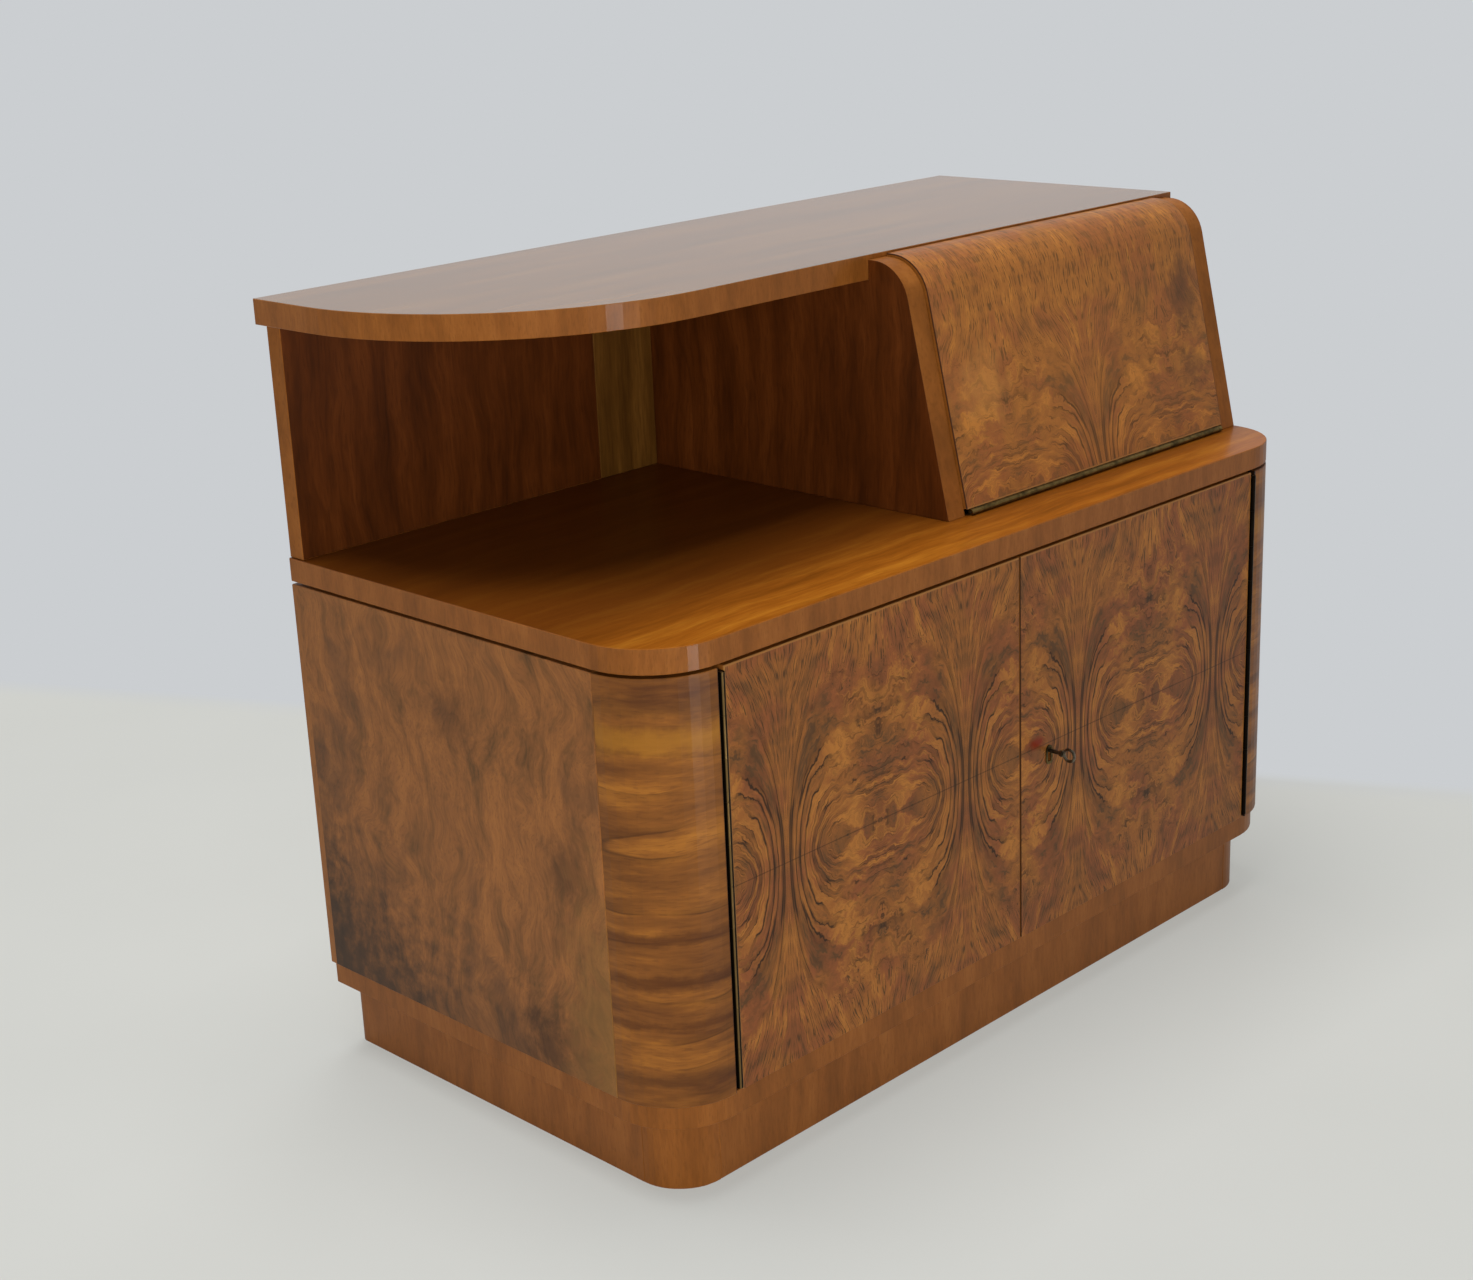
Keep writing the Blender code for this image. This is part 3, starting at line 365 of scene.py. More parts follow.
def straight_grain_group():
    """Plain veneer: soft bands and fibres that run along the axis with the smallest stretch."""
    _, add, given, made = new_group(
        "Straight grain",
        {VECTORS: "Stretch", VALUES: "Wave Contrast Lines", COLOURS: "Pale Ground Deep"},
        {COLOURS: "Colour", VALUES: "Relief"})
    place = add("ShaderNodeTexCoord").outputs["Object"]
    # The grain bends in waves about 120 mm long
    bend = add(NOISE, place, Scale=1 / 0.12, Detail=2.0)
    bend_centred = add(VECTOR, bend.outputs["Color"], [NOISE_MIDDLE] * 3, operation="SUBTRACT")
    bend_part = add(VECTOR, bend_centred, Scale=given["Wave"], operation="SCALE")
    bent = add(VECTOR, place, bend_part, operation="ADD")
    grain = add(VECTOR, bent, given["Stretch"], operation="MULTIPLY")
    bands, rings, fibres, pores = [add(NOISE, grain, Scale=scale, Detail=detail) for scale, detail in
                                   ((1.0, 2.0), (0.8, 0.0), (7.0, 2.0), (19.0, 0.0))]
    band_part = add("SUBTRACT", bands, NOISE_MIDDLE)
    with_fibres = sway(add, band_part, fibres, 0.45)
    tone = add("MULTIPLY_ADD", with_fibres, given["Contrast"], NOISE_MIDDLE)
    low = add(RANGE, tone, 0.1, 0.5)
    high = add(RANGE, tone, 0.5, 0.9)
    wood = three_tones(add, low, high, given["Deep"], given["Ground"], given["Pale"])
    pore_part = add(RANGE, pores, 0.60, 0.72, 0.0, 0.30)
    with_pores = add(MIX, pore_part, wood, given["Deep"], **RGBA)
    # Thin dark growth lines on the edges of some bands, shading off to one side
    line = growth_line(add, rings, (0.003, 0.024), 0.8, (0.0, 0.13))
    patches = add("ShaderNodeSeparateColor", bend.outputs["Color"])
    shown = add(RANGE, patches.outputs["Blue"], 0.40, 0.56, 0.0, given["Lines"])
    line_part = add("MULTIPLY", line, shown)
    darkest = add(MIX, 0.55, given["Deep"], (0.0, 0.0, 0.0, 1.0), **RGBA)
    lined = add(MIX, line_part, with_pores, darkest, **RGBA)
    set_inputs(made, {"Colour": lined, "Relief": tone})


def straight_grain(add, stretch_mm, wave_mm, contrast, lines, colours):
    """Straight-grained veneer; stretch_mm is the size of a band along X, Y and Z."""
    return add(GROUP, [1000 / size for size in stretch_mm], wave_mm / 1000, contrast, lines, *colours,
               node_tree=bpy.data.node_groups["Straight grain"]).outputs


def crotch_veneer(surface, settings, feather, leaf, up):
    """Crotch walnut in the colours of the settings, its leaves mirrored at each feather."""
    from_feather = surface.add("SUBTRACT", surface.axis["X"], feather)
    across = surface.add("PINGPONG", from_feather, leaf)
    return surface.add(GROUP, across, up, leaf, surface.place,
                       *tones(settings, "figured", "pale", "ground", "rose", "deep", "line"),
                       node_tree=bpy.data.node_groups["Crotch walnut"]).outputs


def tones(settings, wood, *names):
    """Colours of a wood from the settings, pale, ground and deep where no names are given."""
    return [(*getattr(settings, f"{wood}_{name}"), 1) for name in names or ("pale", "ground", "deep")]


def plain_veneer(name, grain, finish, *dressed):
    """Sliced veneer with one straight grain all over."""
    surface = Surface(name)
    wood = straight_grain(surface.add, *grain)
    surface.varnish(wood["Colour"], wood["Relief"], finish)
    surface.dress(*dressed)


def edged_board(name, board, label, face, edge, finish, painted_shadow=None, polish=None):
    """Board veneered one way on its faces, with cross-grained or paler wood round its edges.

    The faces look along the axis that label gives, both of them on an upright board and the upper one alone
    on a level board. A painted shadow can be given: its dark colour and the two depths between which it fades
    in towards the back. polish is the faces' own coat.
    """
    surface = Surface(name)
    add = surface.add
    low, high = (getattr(corner, label.lower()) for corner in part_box(board))
    middle = 0 if label == "Z" else (low + high) / 2
    from_middle = add("SUBTRACT", surface.axis[label], middle)
    far = add("ABSOLUTE", from_middle)
    on_face = add("GREATER_THAN", far, high - middle - FACE_MARGIN)
    edge_wood = straight_grain(add, *edge)
    face_wood = straight_grain(add, *face)
    face_colour = face_wood["Colour"]
    # Painted shadow: the top board's shade on the worktop, drawn as darker wood from the front towards the
    # back
    if painted_shadow:
        dark, shadow_starts, shadow_full = painted_shadow
        depth = add(RANGE, surface.axis["Y"], shadow_starts, shadow_full, 0.0, 0.8, **SMOOTH)
        face_colour = add(MIX, depth, face_colour, linear(dark), **RGBA)
    colour = add(MIX, on_face, edge_wood["Colour"], face_colour, **RGBA)
    surface.varnish(colour, face_wood["Relief"], finish)
    if polish:
        coat = add(RANGE, on_face, To_Min=finish[1], To_Max=polish)
        set_inputs(surface.shader, {"Coat Weight": coat})
    surface.dress(board)


def stained(surface, colour, patches):
    """Darker or paler patches of wood with ragged edges; a patch whose size is 0 along an axis is endless."""
    add = surface.add
    rag = add(NOISE, surface.place, Scale=1 / 0.02, Detail=4.0, Roughness=0.6)
    for centre, size, tint, strength in patches:
        away = add(VECTOR, surface.place, centre, operation="SUBTRACT")
        scaled = add(VECTOR, away, [1 / length if length else 0 for length in size], operation="MULTIPLY")
        far = add(VECTOR, scaled, operation="LENGTH")
        ragged = add("MULTIPLY_ADD", rag, 1.6, far)
        mask = add(RANGE, ragged, 0.9, 1.9, strength, 0.0, **SMOOTH)
        colour = add(MIX, mask, colour, linear(tint), **RGBA)
    return colour


def lipped(surface, box, sides, colour, lipping, width=LIPPING):
    """Narrow strip of another colour along the named edges of a front that fills a box."""
    add = surface.add
    low, high = box
    edges = {"left": ("X", low.x, 1), "right": ("X", high.x, -1), "foot": ("Z", low.z, 1),
             "head": ("Z", high.z, -1)}
    nearest = 1.0
    for side in sides:
        label, edge, way = edges[side]
        gap = add("MULTIPLY_ADD", surface.axis[label], way, -way * edge)
        nearest = add("MINIMUM", nearest, gap)
    mask = add(RANGE, nearest, *(width * share for share in STRIP_FADE), 1.0, 0.0)
    return add(MIX, mask, colour, lipping, **RGBA)


def colour_property(name, description, hex_colour):
    return FloatVectorProperty(name=name, description=description, subtype="COLOR",
                               default=linear(hex_colour)[:3])


class VeneerSettings(bpy.types.PropertyGroup):
    """Colours of the veneers."""
    figured_pale: colour_property("Figured pale", "Lightest wood of the crotch walnut", "B1712F")
    figured_ground: colour_property("Figured ground", "Middle tone of the crotch walnut", "955B27")
    figured_rose: colour_property("Figured rose", "Rosy zones of the crotch walnut", "8A4F28")
    figured_deep: colour_property("Figured deep", "Dark zones of the crotch walnut", "5B3D20")
    figured_line: colour_property("Figured line", "Dark growth lines", "321E0C")
    honey_pale: colour_property("Honey pale", "Lightest wood of the worktop", "B97421")
    honey_ground: colour_property("Honey ground", "Middle tone of the worktop", "995614")
    honey_deep: colour_property("Honey deep", "Darker streaks of the worktop", "75400B")
    red_pale: colour_property("Red pale", "Lightest wood of plinth and edges", "A2642B")
    red_ground: colour_property("Red ground", "Middle tone of plinth and edges", "8B521F")
    red_deep: colour_property("Red deep", "Darker streaks of plinth and edges", "6E3F15")
    lipping: colour_property("Lipping", "Thin solid lipping round doors and flap", "A06C36")


class FixingSettings(bpy.types.PropertyGroup):
    """Sizes of the screws."""
    hinge_screw: FloatProperty(name="Hinge screw", description="Head radius of the piano hinges' screws",
                               default=0.0022, unit="LENGTH")
    back_screw: FloatProperty(name="Back screw", description="Head radius of the back boards' screws",
                              default=0.0032, unit="LENGTH")
    dome: FloatProperty(name="Dome", description="Height of a head as a share of its radius", default=0.2)
    hinge_spacing: FloatProperty(name="Hinge spacing", description="Between screws along a piano hinge",
                                 default=0.040, unit="LENGTH")
    back_spacing: FloatProperty(name="Back spacing", description="Between screws round a back board",
                                default=0.110, unit="LENGTH")
    seed: IntProperty(name="Seed", description="Turns the screws' slots another way", default=4)


class StudioSettings(bpy.types.PropertyGroup):
    """Colours and lights of the studio."""
    floor: colour_property("Floor", "Painted floor", "D5D6D2")
    wall: colour_property("Wall", "Painted wall", "CBCED1")
    sky: FloatProperty(name="Sky", description="Strength of the light from all round", default=0.16)
    key: FloatProperty(name="Key", description="Power of the large lamp overhead", default=134.0,
                       unit="POWER")
    fill: FloatProperty(name="Fill", description="Power of the wide lamp in front", default=64.0,
                        unit="POWER")
    back: FloatProperty(name="Back", description="Power of the wide lamp behind", default=24.0, unit="POWER")
    strip: FloatProperty(name="Strip", description="Power of the lamp that draws the gloss of the post",
                         default=4.0, unit="POWER")


class CABINET_OT_veneer_tools(bpy.types.Operator):
    """Lay out the two wood patterns that the veneers share"""
    bl_idname = "cabinet.veneer_tools"
    bl_label = "Veneer patterns"

    def execute(self, context):
        figured_walnut_group(leaf_figure_group())
        straight_grain_group()
        return {"FINISHED"}


class CABINET_OT_doors(bpy.types.Operator):
    """Veneer both doors with four-piece matched crotch walnut"""
    bl_idname = "cabinet.doors"
    bl_label = "Doors"

    def execute(self, context):
        settings = context.scene.cabinet_veneers
        for door, feather, leaf, hinged, meeting in (
                ("left_door", LEFT_FEATHER, LEFT_LEAF, "left", "right"),
                ("right_door", RIGHT_FEATHER, RIGHT_LEAF, "right", "left")):
            # Crotch walnut, sliced thin and four-piece matched, varnished and rubbed by hand: mirrored rings
            # and plumes with dark growth lines, under a soft sheen
            surface = Surface(door + "_crotch_walnut")
            add = surface.add
            from_seam = add("SUBTRACT", surface.axis["Z"], CROSS_SEAM)
            up = add("ABSOLUTE", from_seam)
            wood = crotch_veneer(surface, settings, feather, leaf, up)
            joint = add(RANGE, up, *SEAM_LINE, 0.6, 0.0)
            colour = add(MIX, joint, wood["Colour"], (*settings.figured_line, 1), **RGBA)
            box = low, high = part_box(door)
            # Pale strips along the head and the hinged side: thin lipping, and at the head also a painted
            # highlight where its edge catches the light
            colour = lipped(surface, box, ("head", hinged), colour, (*settings.lipping, 1))
            # The joint between the doors: a dark strip as painted shade of the gap
            colour = lipped(surface, box, (meeting,), colour, linear("38200F"), DOOR_GAP_SHADE)
            if door == "right_door":
                key_low, key_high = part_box("escutcheon")
                rubbed = (key_low.x - RUBBED_LEFT, low.y, key_high.z + RUBBED_ABOVE)
                colour = stained(surface, colour, [(rubbed, RUBBED_SIZE, "7A2408", 0.95)])
            # Plain straight-grained walnut on the door's edges and its inner face
            inside = straight_grain(add, (40, 40, 260), 20, 0.9, 0.2, tones(settings, "red"))
            behind = add("GREATER_THAN", surface.axis["Y"], low.y + FRONT_SKIN)
            colour = add(MIX, behind, colour, inside["Colour"], **RGBA)
            surface.varnish(colour, wood["Relief"], SATIN, FIGURE_STRENGTH)
            surface.dress(door)
        return {"FINISHED"}


class CABINET_OT_flap(bpy.types.Operator):
    """Veneer the bent flap with a crotch leaf that rises from its foot and over its shoulder"""
    bl_idname = "cabinet.flap"
    bl_label = "Flap"

    def execute(self, context):
        settings = context.scene.cabinet_veneers
        box = low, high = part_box("flap")
        # Crotch walnut, sliced thin, bent over the shoulder and bleached by years of light from above: the
        # doors' figure again, but paler and more golden
        surface = Surface("flap_crotch_walnut")
        add, axis = surface.add, surface.axis
        # Height up the slope, and on over the shoulder by the run towards the back
        rise = add("SUBTRACT", axis["Z"], low.z)
        run = add("SUBTRACT", axis["Y"], low.y)
        up = add("MULTIPLY_ADD", run, SHOULDER_SHARE, rise)
        wood = crotch_veneer(surface, settings, FLAP_FEATHER, FLAP_LEAF, up)
        golden = add(MIX, 0.14, wood["Colour"], linear("B87A34"), **RGBA)
        bleached = add("ShaderNodeHueSaturation", Color=golden, Value=1.17)
        # A pale patch on the left, smoky ones on the right
        colour = stained(surface, bleached, (
            ((low.x + 0.055, 0, 0.66), (0.05, 0, 0.05), "C98A45", 0.4),
            ((high.x - 0.035, 0, 0.70), (0.035, 0, 0.07), "4E3320", 0.6),
            ((high.x - 0.04, 0, 0.62), (0.04, 0, 0.03), "4E3320", 0.5)))
        colour = lipped(surface, box, ("foot",), colour, (*settings.lipping, 1))
        # The joints beside the flap: dark strips as painted shade of the gaps
        colour = lipped(surface, box, ("left", "right"), colour, linear("4A2B16"), FLAP_GAP_SHADE)
        # Plain straight-grained walnut on the flap's edges and its inner face: all that lies deeper than the
        # skin under the slope's plane, and under the shoulder's arc above it
        lean, across_lean = math.cos(FLAP_SLOPE), math.sin(FLAP_SLOPE)
        centre_z = high.z - FLAP_BEND
        centre_y = low.y + (FLAP_BEND + across_lean * (centre_z - low.z)) / lean
        back = add("MULTIPLY", run, lean)
        under_slope = add("MULTIPLY_ADD", rise, -across_lean, back)
        on_slope = add("LESS_THAN", under_slope, FRONT_SKIN)
        from_centre = add(VECTOR, surface.place, (0, centre_y, centre_z), operation="SUBTRACT")
        in_profile = add(VECTOR, from_centre, (0, 1, 1), operation="MULTIPLY")
        radius = add(VECTOR, in_profile, operation="LENGTH")
        on_bend = add("GREATER_THAN", radius, FLAP_BEND - FRONT_SKIN)
        above = add("GREATER_THAN", axis["Z"], centre_z + FLAP_BEND * across_lean)
        on_shoulder = add("MULTIPLY", on_bend, above)
        outer = add("MAXIMUM", on_slope, on_shoulder)
        inside = straight_grain(add, (260, 40, 40), 20, 0.9, 0.2, tones(settings, "red"))
        colour = add(MIX, outer, inside["Colour"], colour, **RGBA)
        surface.varnish(colour, wood["Relief"], SATIN, FIGURE_STRENGTH)
        surface.dress("flap")
        return {"FINISHED"}


def side_veneer(name):
    # Burr walnut, sliced thin and varnished: wavy brown wood with smoky clouds and knots, darker towards the
    # lower back corner and pale at the foot of the front edge
    surface = Surface(name + "_burr_walnut")
    add, axis = surface.add, surface.axis
    low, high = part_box(name)
    middle = (low.x + high.x) / 2
    burr = [linear(tone) for tone in ("A46833", "8B572B", "60401F")]
    wood = straight_grain(add, (60, 24, 80), 120, 1.35, 0.3, burr)
    clouds = add(NOISE, surface.place, Scale=1 / 0.09, Detail=3.0, Roughness=0.55, Distortion=0.6)
    smoky = add(RANGE, clouds, 0.53, 0.74, 0.0, 0.42, **SMOOTH)
    smoked = add(MIX, smoky, wood["Colour"], linear("4A3322"), **RGBA)
    depths = (high.y, 0, low.y)
    colour = stained(surface, smoked, [
        ((middle, depths[edge] + y, max(z, low.z)), (0, wide, tall), tint, strength)
        for edge, y, z, wide, tall, tint, strength in SIDE_PATCHES])
    # The back edge and the inner face are plain
    at_back = add("GREATER_THAN", axis["Y"], high.y - BACK_EDGE)
    from_mirror = add("ABSOLUTE", axis["X"])
    within = add("LESS_THAN", from_mirror, abs(middle))
    plain = add("MAXIMUM", at_back, within)
    plain_wood = straight_grain(add, (60, 60, 240), 10, 0.8, 0.1, burr)
    colour = add(MIX, plain, colour, plain_wood["Colour"], **RGBA)
    surface.varnish(colour, wood["Relief"], SATIN, FIGURE_STRENGTH)
    surface.dress(name)


def post_veneer():
    # Walnut, bent across its grain round the posts and varnished: bands with darker and golden streaks run
    # round the curve, and the gloss draws one soft upright line
    surface = Surface("cross_grained_walnut_posts")
    add = surface.add
    wood = straight_grain(add, (200, 200, 27), 20, 1.3, 0.8,
                          [linear(tone) for tone in ("AC6D26", "84501E", "5C3416")])
    colour = stained(surface, wood["Colour"], [((0, 0, z), (0, 0, tall), tint, strength)
                                               for z, tall, tint, strength in POST_STREAKS])
    # Painted shade along the hinges: a dark line on the post beside the brass, where the gap lies
    from_mirror = add("ABSOLUTE", surface.axis["X"])
    edge_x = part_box("right_corner_post")[0].x
    beside = add(RANGE, from_mirror, *(edge_x + width for width in POST_GAP_SHADE), 1.0, 0.0)
    colour = add(MIX, beside, colour, linear("24150B"), **RGBA)
    surface.varnish(colour, wood["Relief"], POST_SATIN, FIGURE_STRENGTH)
    surface.dress("left_corner_post", "right_corner_post")


class CABINET_OT_carcass(bpy.types.Operator):
    """Veneer the sides, the round posts, the worktop, the top and the plinth"""
    bl_idname = "cabinet.carcass"
    bl_label = "Carcass"

    def execute(self, context):
        settings = context.scene.cabinet_veneers
        red = tones(settings, "red")
        for name in ("left_side", "right_side"):
            side_veneer(name)
        post_veneer()
        edge = ((22, 22, 110), 8, 0.9, 0.15, red)
        # Honey walnut, sliced lengthwise and varnished: warm, streaky and bright in front, darkening towards
        # the back with the top board's shadow painted on; the lipping round it stands on end and is redder
        edged_board("worktop_honey_walnut", "worktop", "Z",
                    ((300, 24, 60), 24, 1.2, 0.25, tones(settings, "honey")), edge, SATIN,
                    ("54290A", *TOP_BOARD_SHADOW))
        # Faded walnut, sliced lengthwise and French polished: its face mirrors the pale room, its lipping not
        faded = [linear(tone) for tone in ("906329", "7A5020", "604017")]
        edged_board("top_board_walnut", "top_board", "Z", ((300, 24, 60), 24, 0.9, 0.1, faded), edge, SATIN,
                    polish=POLISH)
        # Walnut, cut across the grain and varnished: fine upright stripes, redder than the fronts
        plain_veneer("cross_grained_walnut_plinth", ((26, 26, 150), 8, 0.9, 0.15, red), SATIN, "base_board",
                     "plinth_front_rail", "plinth_left_rail", "plinth_right_rail", "plinth_left_corner",
                     "plinth_right_corner")
        return {"FINISHED"}


class CABINET_OT_upper_part(bpy.types.Operator):
    """Veneer the niche and the bar's side panels"""
    bl_idname = "cabinet.upper_part"
    bl_label = "Niche and bar"

    def execute(self, context):
        red = tones(context.scene.cabinet_veneers, "red")
        # Dark walnut tones, made darker still as painted shade of the niche, for the faces of its back and
        # the bar's sides
        dark = [linear(tone) for tone in ("6B3713", "55290B", "381905")]
        sap = [linear(tone) for tone in ("784F1E", "5F3C14", "45290B")]
        edge = ((60, 60, 120), 16, 1.0, 0.2, red)
        # Walnut sapwood, sliced and thinly varnished: a paler, greener strip in the dark of the niche
        plain_veneer("pale_walnut_infill", ((20, 60, 260), 18, 1.3, 0.3, sap), INSIDE_SATIN,
                     "niche_back_infill")
        # Dark walnut, sliced upright and thinly varnished: dull red-brown faces between paler lippings; the
        # faces' darkness is partly the wood and partly painted shade of the niche
        edged_board("dark_walnut_painted_shade_niche_back", "niche_back", "Y", ((26, 60, 260), 30, 1.3, 0.3, dark), edge,
                    INSIDE_SATIN)
        # The bar's sides: the same dark faces, partly painted shade of the niche, with redder edges
        for side in ("bar_left_side", "bar_right_side"):
            edged_board(side + "_walnut", side, "X", ((60, 26, 230), 26, 1.2, 0.35, dark), edge, INSIDE_SATIN)
        return {"FINISHED"}


def screwed_back(name, grain, fixings):
    # Beech plywood, rotary cut and left nearly bare: a pale, matt sheet, its countersunk steel screws flush
    # with the wood all round its edge
    surface = Surface(name + "_beech_plywood")
    add, axis = surface.add, surface.axis
    wood = straight_grain(add, *grain)
    low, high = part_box(name)
    # Distance from the nearest screw along a row, and from the nearest row, for the rows both ways
    along, off = {}, {}
    for label, start, end in (("X", low.x + BACK_INSET, high.x - BACK_INSET),
                              ("Z", low.z + BACK_INSET, high.z - BACK_INSET)):
        spacing = (end - start) / round((end - start) / fixings.back_spacing)
        from_start = add("SUBTRACT", axis[label], start)
        along[label] = add("PINGPONG", from_start, spacing / 2)
        off[label] = add("PINGPONG", from_start, (end - start) / 2)
    rows = (add(JOIN, along["X"], off["Z"]), add(JOIN, off["X"], along["Z"]))
    away = [add(VECTOR, row, operation="LENGTH") for row in rows]
    nearest = add("MINIMUM", *away)
    radius = fixings.back_screw
    head = add(RANGE, nearest, radius * (1 - HEAD_EDGE), radius * (1 + HEAD_EDGE), 1.0, 0.0)
    outside = add("GREATER_THAN", axis["Y"], high.y - BACK_SKIN)
    shown = add("MULTIPLY", head, outside)
    slot = add("LESS_THAN", off["Z"], radius * FLUSH_SLOT)
    metal = add(MIX, slot, linear("8C8579"), linear("2A2620"), **RGBA)
    colour = add(MIX, shown, wood["Colour"], metal, **RGBA)
    surface.varnish(colour, wood["Relief"], MATT)
    surface.dress(name)


class CABINET_OT_inside(bpy.types.Operator):
    """Plain matt wood for what is hidden behind doors, flap and back"""
    bl_idname = "cabinet.inside"
    bl_label = "Inside and back"

    def execute(self, context):
        beech = [linear(tone) for tone in ("C79F6E", "B08654", "8F683D")]
        # Beech, sawn and planed: pale, straight and matt, as hidden shelves and rails are
        plain_veneer("beech_shelf_and_rails", ((260, 22, 60), 14, 1.1, 0.0, beech), MATT, "cupboard_shelf",
                     "left_shelf_batten", "right_shelf_batten", "sub_top", "plinth_back_rail")
        for name in ("carcass_back", "bar_back"):
            screwed_back(name, ((40, 40, 300), 20, 1.0, 0.0, beech), context.scene.cabinet_fixings)
        return {"FINISHED"}


def aged_metal(name, colour, tarnish, roughness, dressed, painted_knuckle_light=None):
    """Bare metal with the dull patches of age, some 12 mm across.

    A door hinge's knuckles can get a painted highlight, a thin bright line with painted shade on both sides:
    its place from the mirror plane, how far back it reaches and its colour.
    """
    surface = Surface(name)
    add = surface.add
    patches = add(NOISE, surface.place, Scale=1 / 0.012, Detail=4.0, Roughness=0.65)
    mask = add(RANGE, patches, 0.4, 0.68)
    tone = add(MIX, mask, linear(colour), linear(tarnish), **RGBA)
    if painted_knuckle_light:
        # Painted highlight: a thin bright line along the knuckles, with painted shade on both sides of it
        highlight_x, back_y, highlight_colour = painted_knuckle_light
        from_mirror = add("ABSOLUTE", surface.axis["X"])
        off_line = add("SUBTRACT", from_mirror, highlight_x)
        away = add("ABSOLUTE", off_line)
        side_shade = add(RANGE, away, *HIGHLIGHT_HALF)
        knuckle = add(MIX, side_shade, linear(highlight_colour), linear("120D08"), **RGBA)
        in_front = add("LESS_THAN", surface.axis["Y"], back_y)
        tone = add(MIX, in_front, tone, knuckle, **RGBA)
    dull = add(RANGE, patches, 0.3, 0.7, roughness, roughness + 0.25)
    set_inputs(surface.shader, {"Base Color": tone, "Roughness": dull, "Metallic": 1.0})
    surface.dress(*dressed)


class CABINET_OT_metal(bpy.types.Operator):
    """Aged brass and nickelled steel for hinges, lock, bolts and key"""
    bl_idname = "cabinet.metal"
    bl_label = "Metal"

    def execute(self, context):
        # Lock furniture and edge bolts: drawn brass gone brown with age, dull with a few brighter patches
        aged_metal("aged_brass", "66542C", "261E10", 0.38,
                   ("lock_bolt", "lock_keeper", "escutcheon", "upper_bolt", "upper_bolt_plate", "lower_bolt",
                    "lower_bolt_plate"))
        # Piano hinges of the doors: the same brass, its knuckles painted with a thin highlight between
        # painted shade
        low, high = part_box("right_door_hinge_pin")
        painted_knuckle_light = ((low.x + high.x) / 2 + HIGHLIGHT_PLACE, high.y + KNUCKLES_BEHIND, "785F3A")
        aged_metal("brass_door_hinges_painted_highlight", "66542C", "261E10", 0.38,
                   ("left_door_hinge_post_leaf", "left_door_hinge_door_leaf", "right_door_hinge_post_leaf",
                    "right_door_hinge_door_leaf"), painted_knuckle_light)
        # The flap's hinge: the same brass drawn brighter, a painted highlight that draws a fine light line
        aged_metal("flap_hinge_brass_painted_highlight", "806A3A", "40351B", 0.4,
                   ("flap_hinge_worktop_leaf", "flap_hinge_flap_leaf"))
        # Pins and lock case: steel, nickelled and worn through to grey, with a low shine
        aged_metal("worn_nickelled_steel", "9C968A", "7A7468", 0.27,
                   ("left_door_hinge_pin", "right_door_hinge_pin", "flap_hinge_pin", "lock_case"))
        # The key is handled most: forged steel whose nickel is nearly gone, darkened but with bright glints
        aged_metal("darkened_steel_key", "7D7564", "2B271F", 0.25, ("key",))
        return {"FINISHED"}


def slotted_screws_tree():
    """Geometry nodes that set a domed, slotted head on each point, turned to face as its attribute says."""
    tree, add, given, made = new_group(
        "Slotted screws",
        {"NodeSocketGeometry": "Points", VALUES: "Dome Slot", "NodeSocketInt": "Seed",
         "NodeSocketMaterial": "Metal"}, {"NodeSocketGeometry": "Heads"}, "GeometryNodeTree")
    tree.is_modifier = True
    ball = add("GeometryNodeMeshUVSphere", Segments=20, Rings=8, Radius=1.0)
    flat = add(JOIN, 1.0, 1.0, given["Dome"])
    dome = add("GeometryNodeTransform", Geometry=ball, Scale=flat)
    slot_size = add(JOIN, SLOT_LENGTH, given["Slot"], given["Dome"])
    slot_block = add("GeometryNodeMeshCube", Size=slot_size)
    lift = add(JOIN, Z=given["Dome"])
    slot = add("GeometryNodeTransform", Geometry=slot_block, Translation=lift)
    head = add("GeometryNodeMeshBoolean", Mesh_1=dome, Mesh_2=slot, operation="DIFFERENCE")
    facing = add("GeometryNodeInputNamedAttribute", Name="facing", data_type="FLOAT_VECTOR")
    size = add("GeometryNodeInputNamedAttribute", Name="size", data_type="FLOAT")
    upright = add("FunctionNodeAlignRotationToVector", Vector=facing, axis="Z")
    angle = add("FunctionNodeRandomValue", 0.0, math.pi, Seed=given["Seed"], data_type="FLOAT")
    twist = add("FunctionNodeAxisAngleToRotation", Axis=(0.0, 0.0, 1.0), Angle=angle)
    turned = add("FunctionNodeRotateRotation", Rotation=upright, Rotate_By=twist, rotation_space="LOCAL")
    heads = add("GeometryNodeInstanceOnPoints", Points=given["Points"], Instance=head, Rotation=turned,
                Scale=size)
    real = add("GeometryNodeRealizeInstances", Geometry=heads)
    coloured = add("GeometryNodeSetMaterial", Geometry=real, Material=given["Metal"])
    set_inputs(made, {"Heads": coloured})
    return tree


def screw_row(piece, facing, along, inset, spacing, radius, **places):
    """Row of screws on the face of a piece that looks one way, midway on it except where places say."""
    low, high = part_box(piece)
    start = (low + high) / 2
    for label, way in zip("xyz", facing):
        if way:
            setattr(start, label, getattr(high if way > 0 else low, label))
    for label, place in places.items():
        setattr(start, label, place)
    end = start.copy()
    setattr(start, along, getattr(low, along) + inset)
    setattr(end, along, getattr(high, along) - inset)
    count = max(1, round((end - start).length / spacing))
    return [(start.lerp(end, i / count), facing, radius) for i in range(count + 1)]


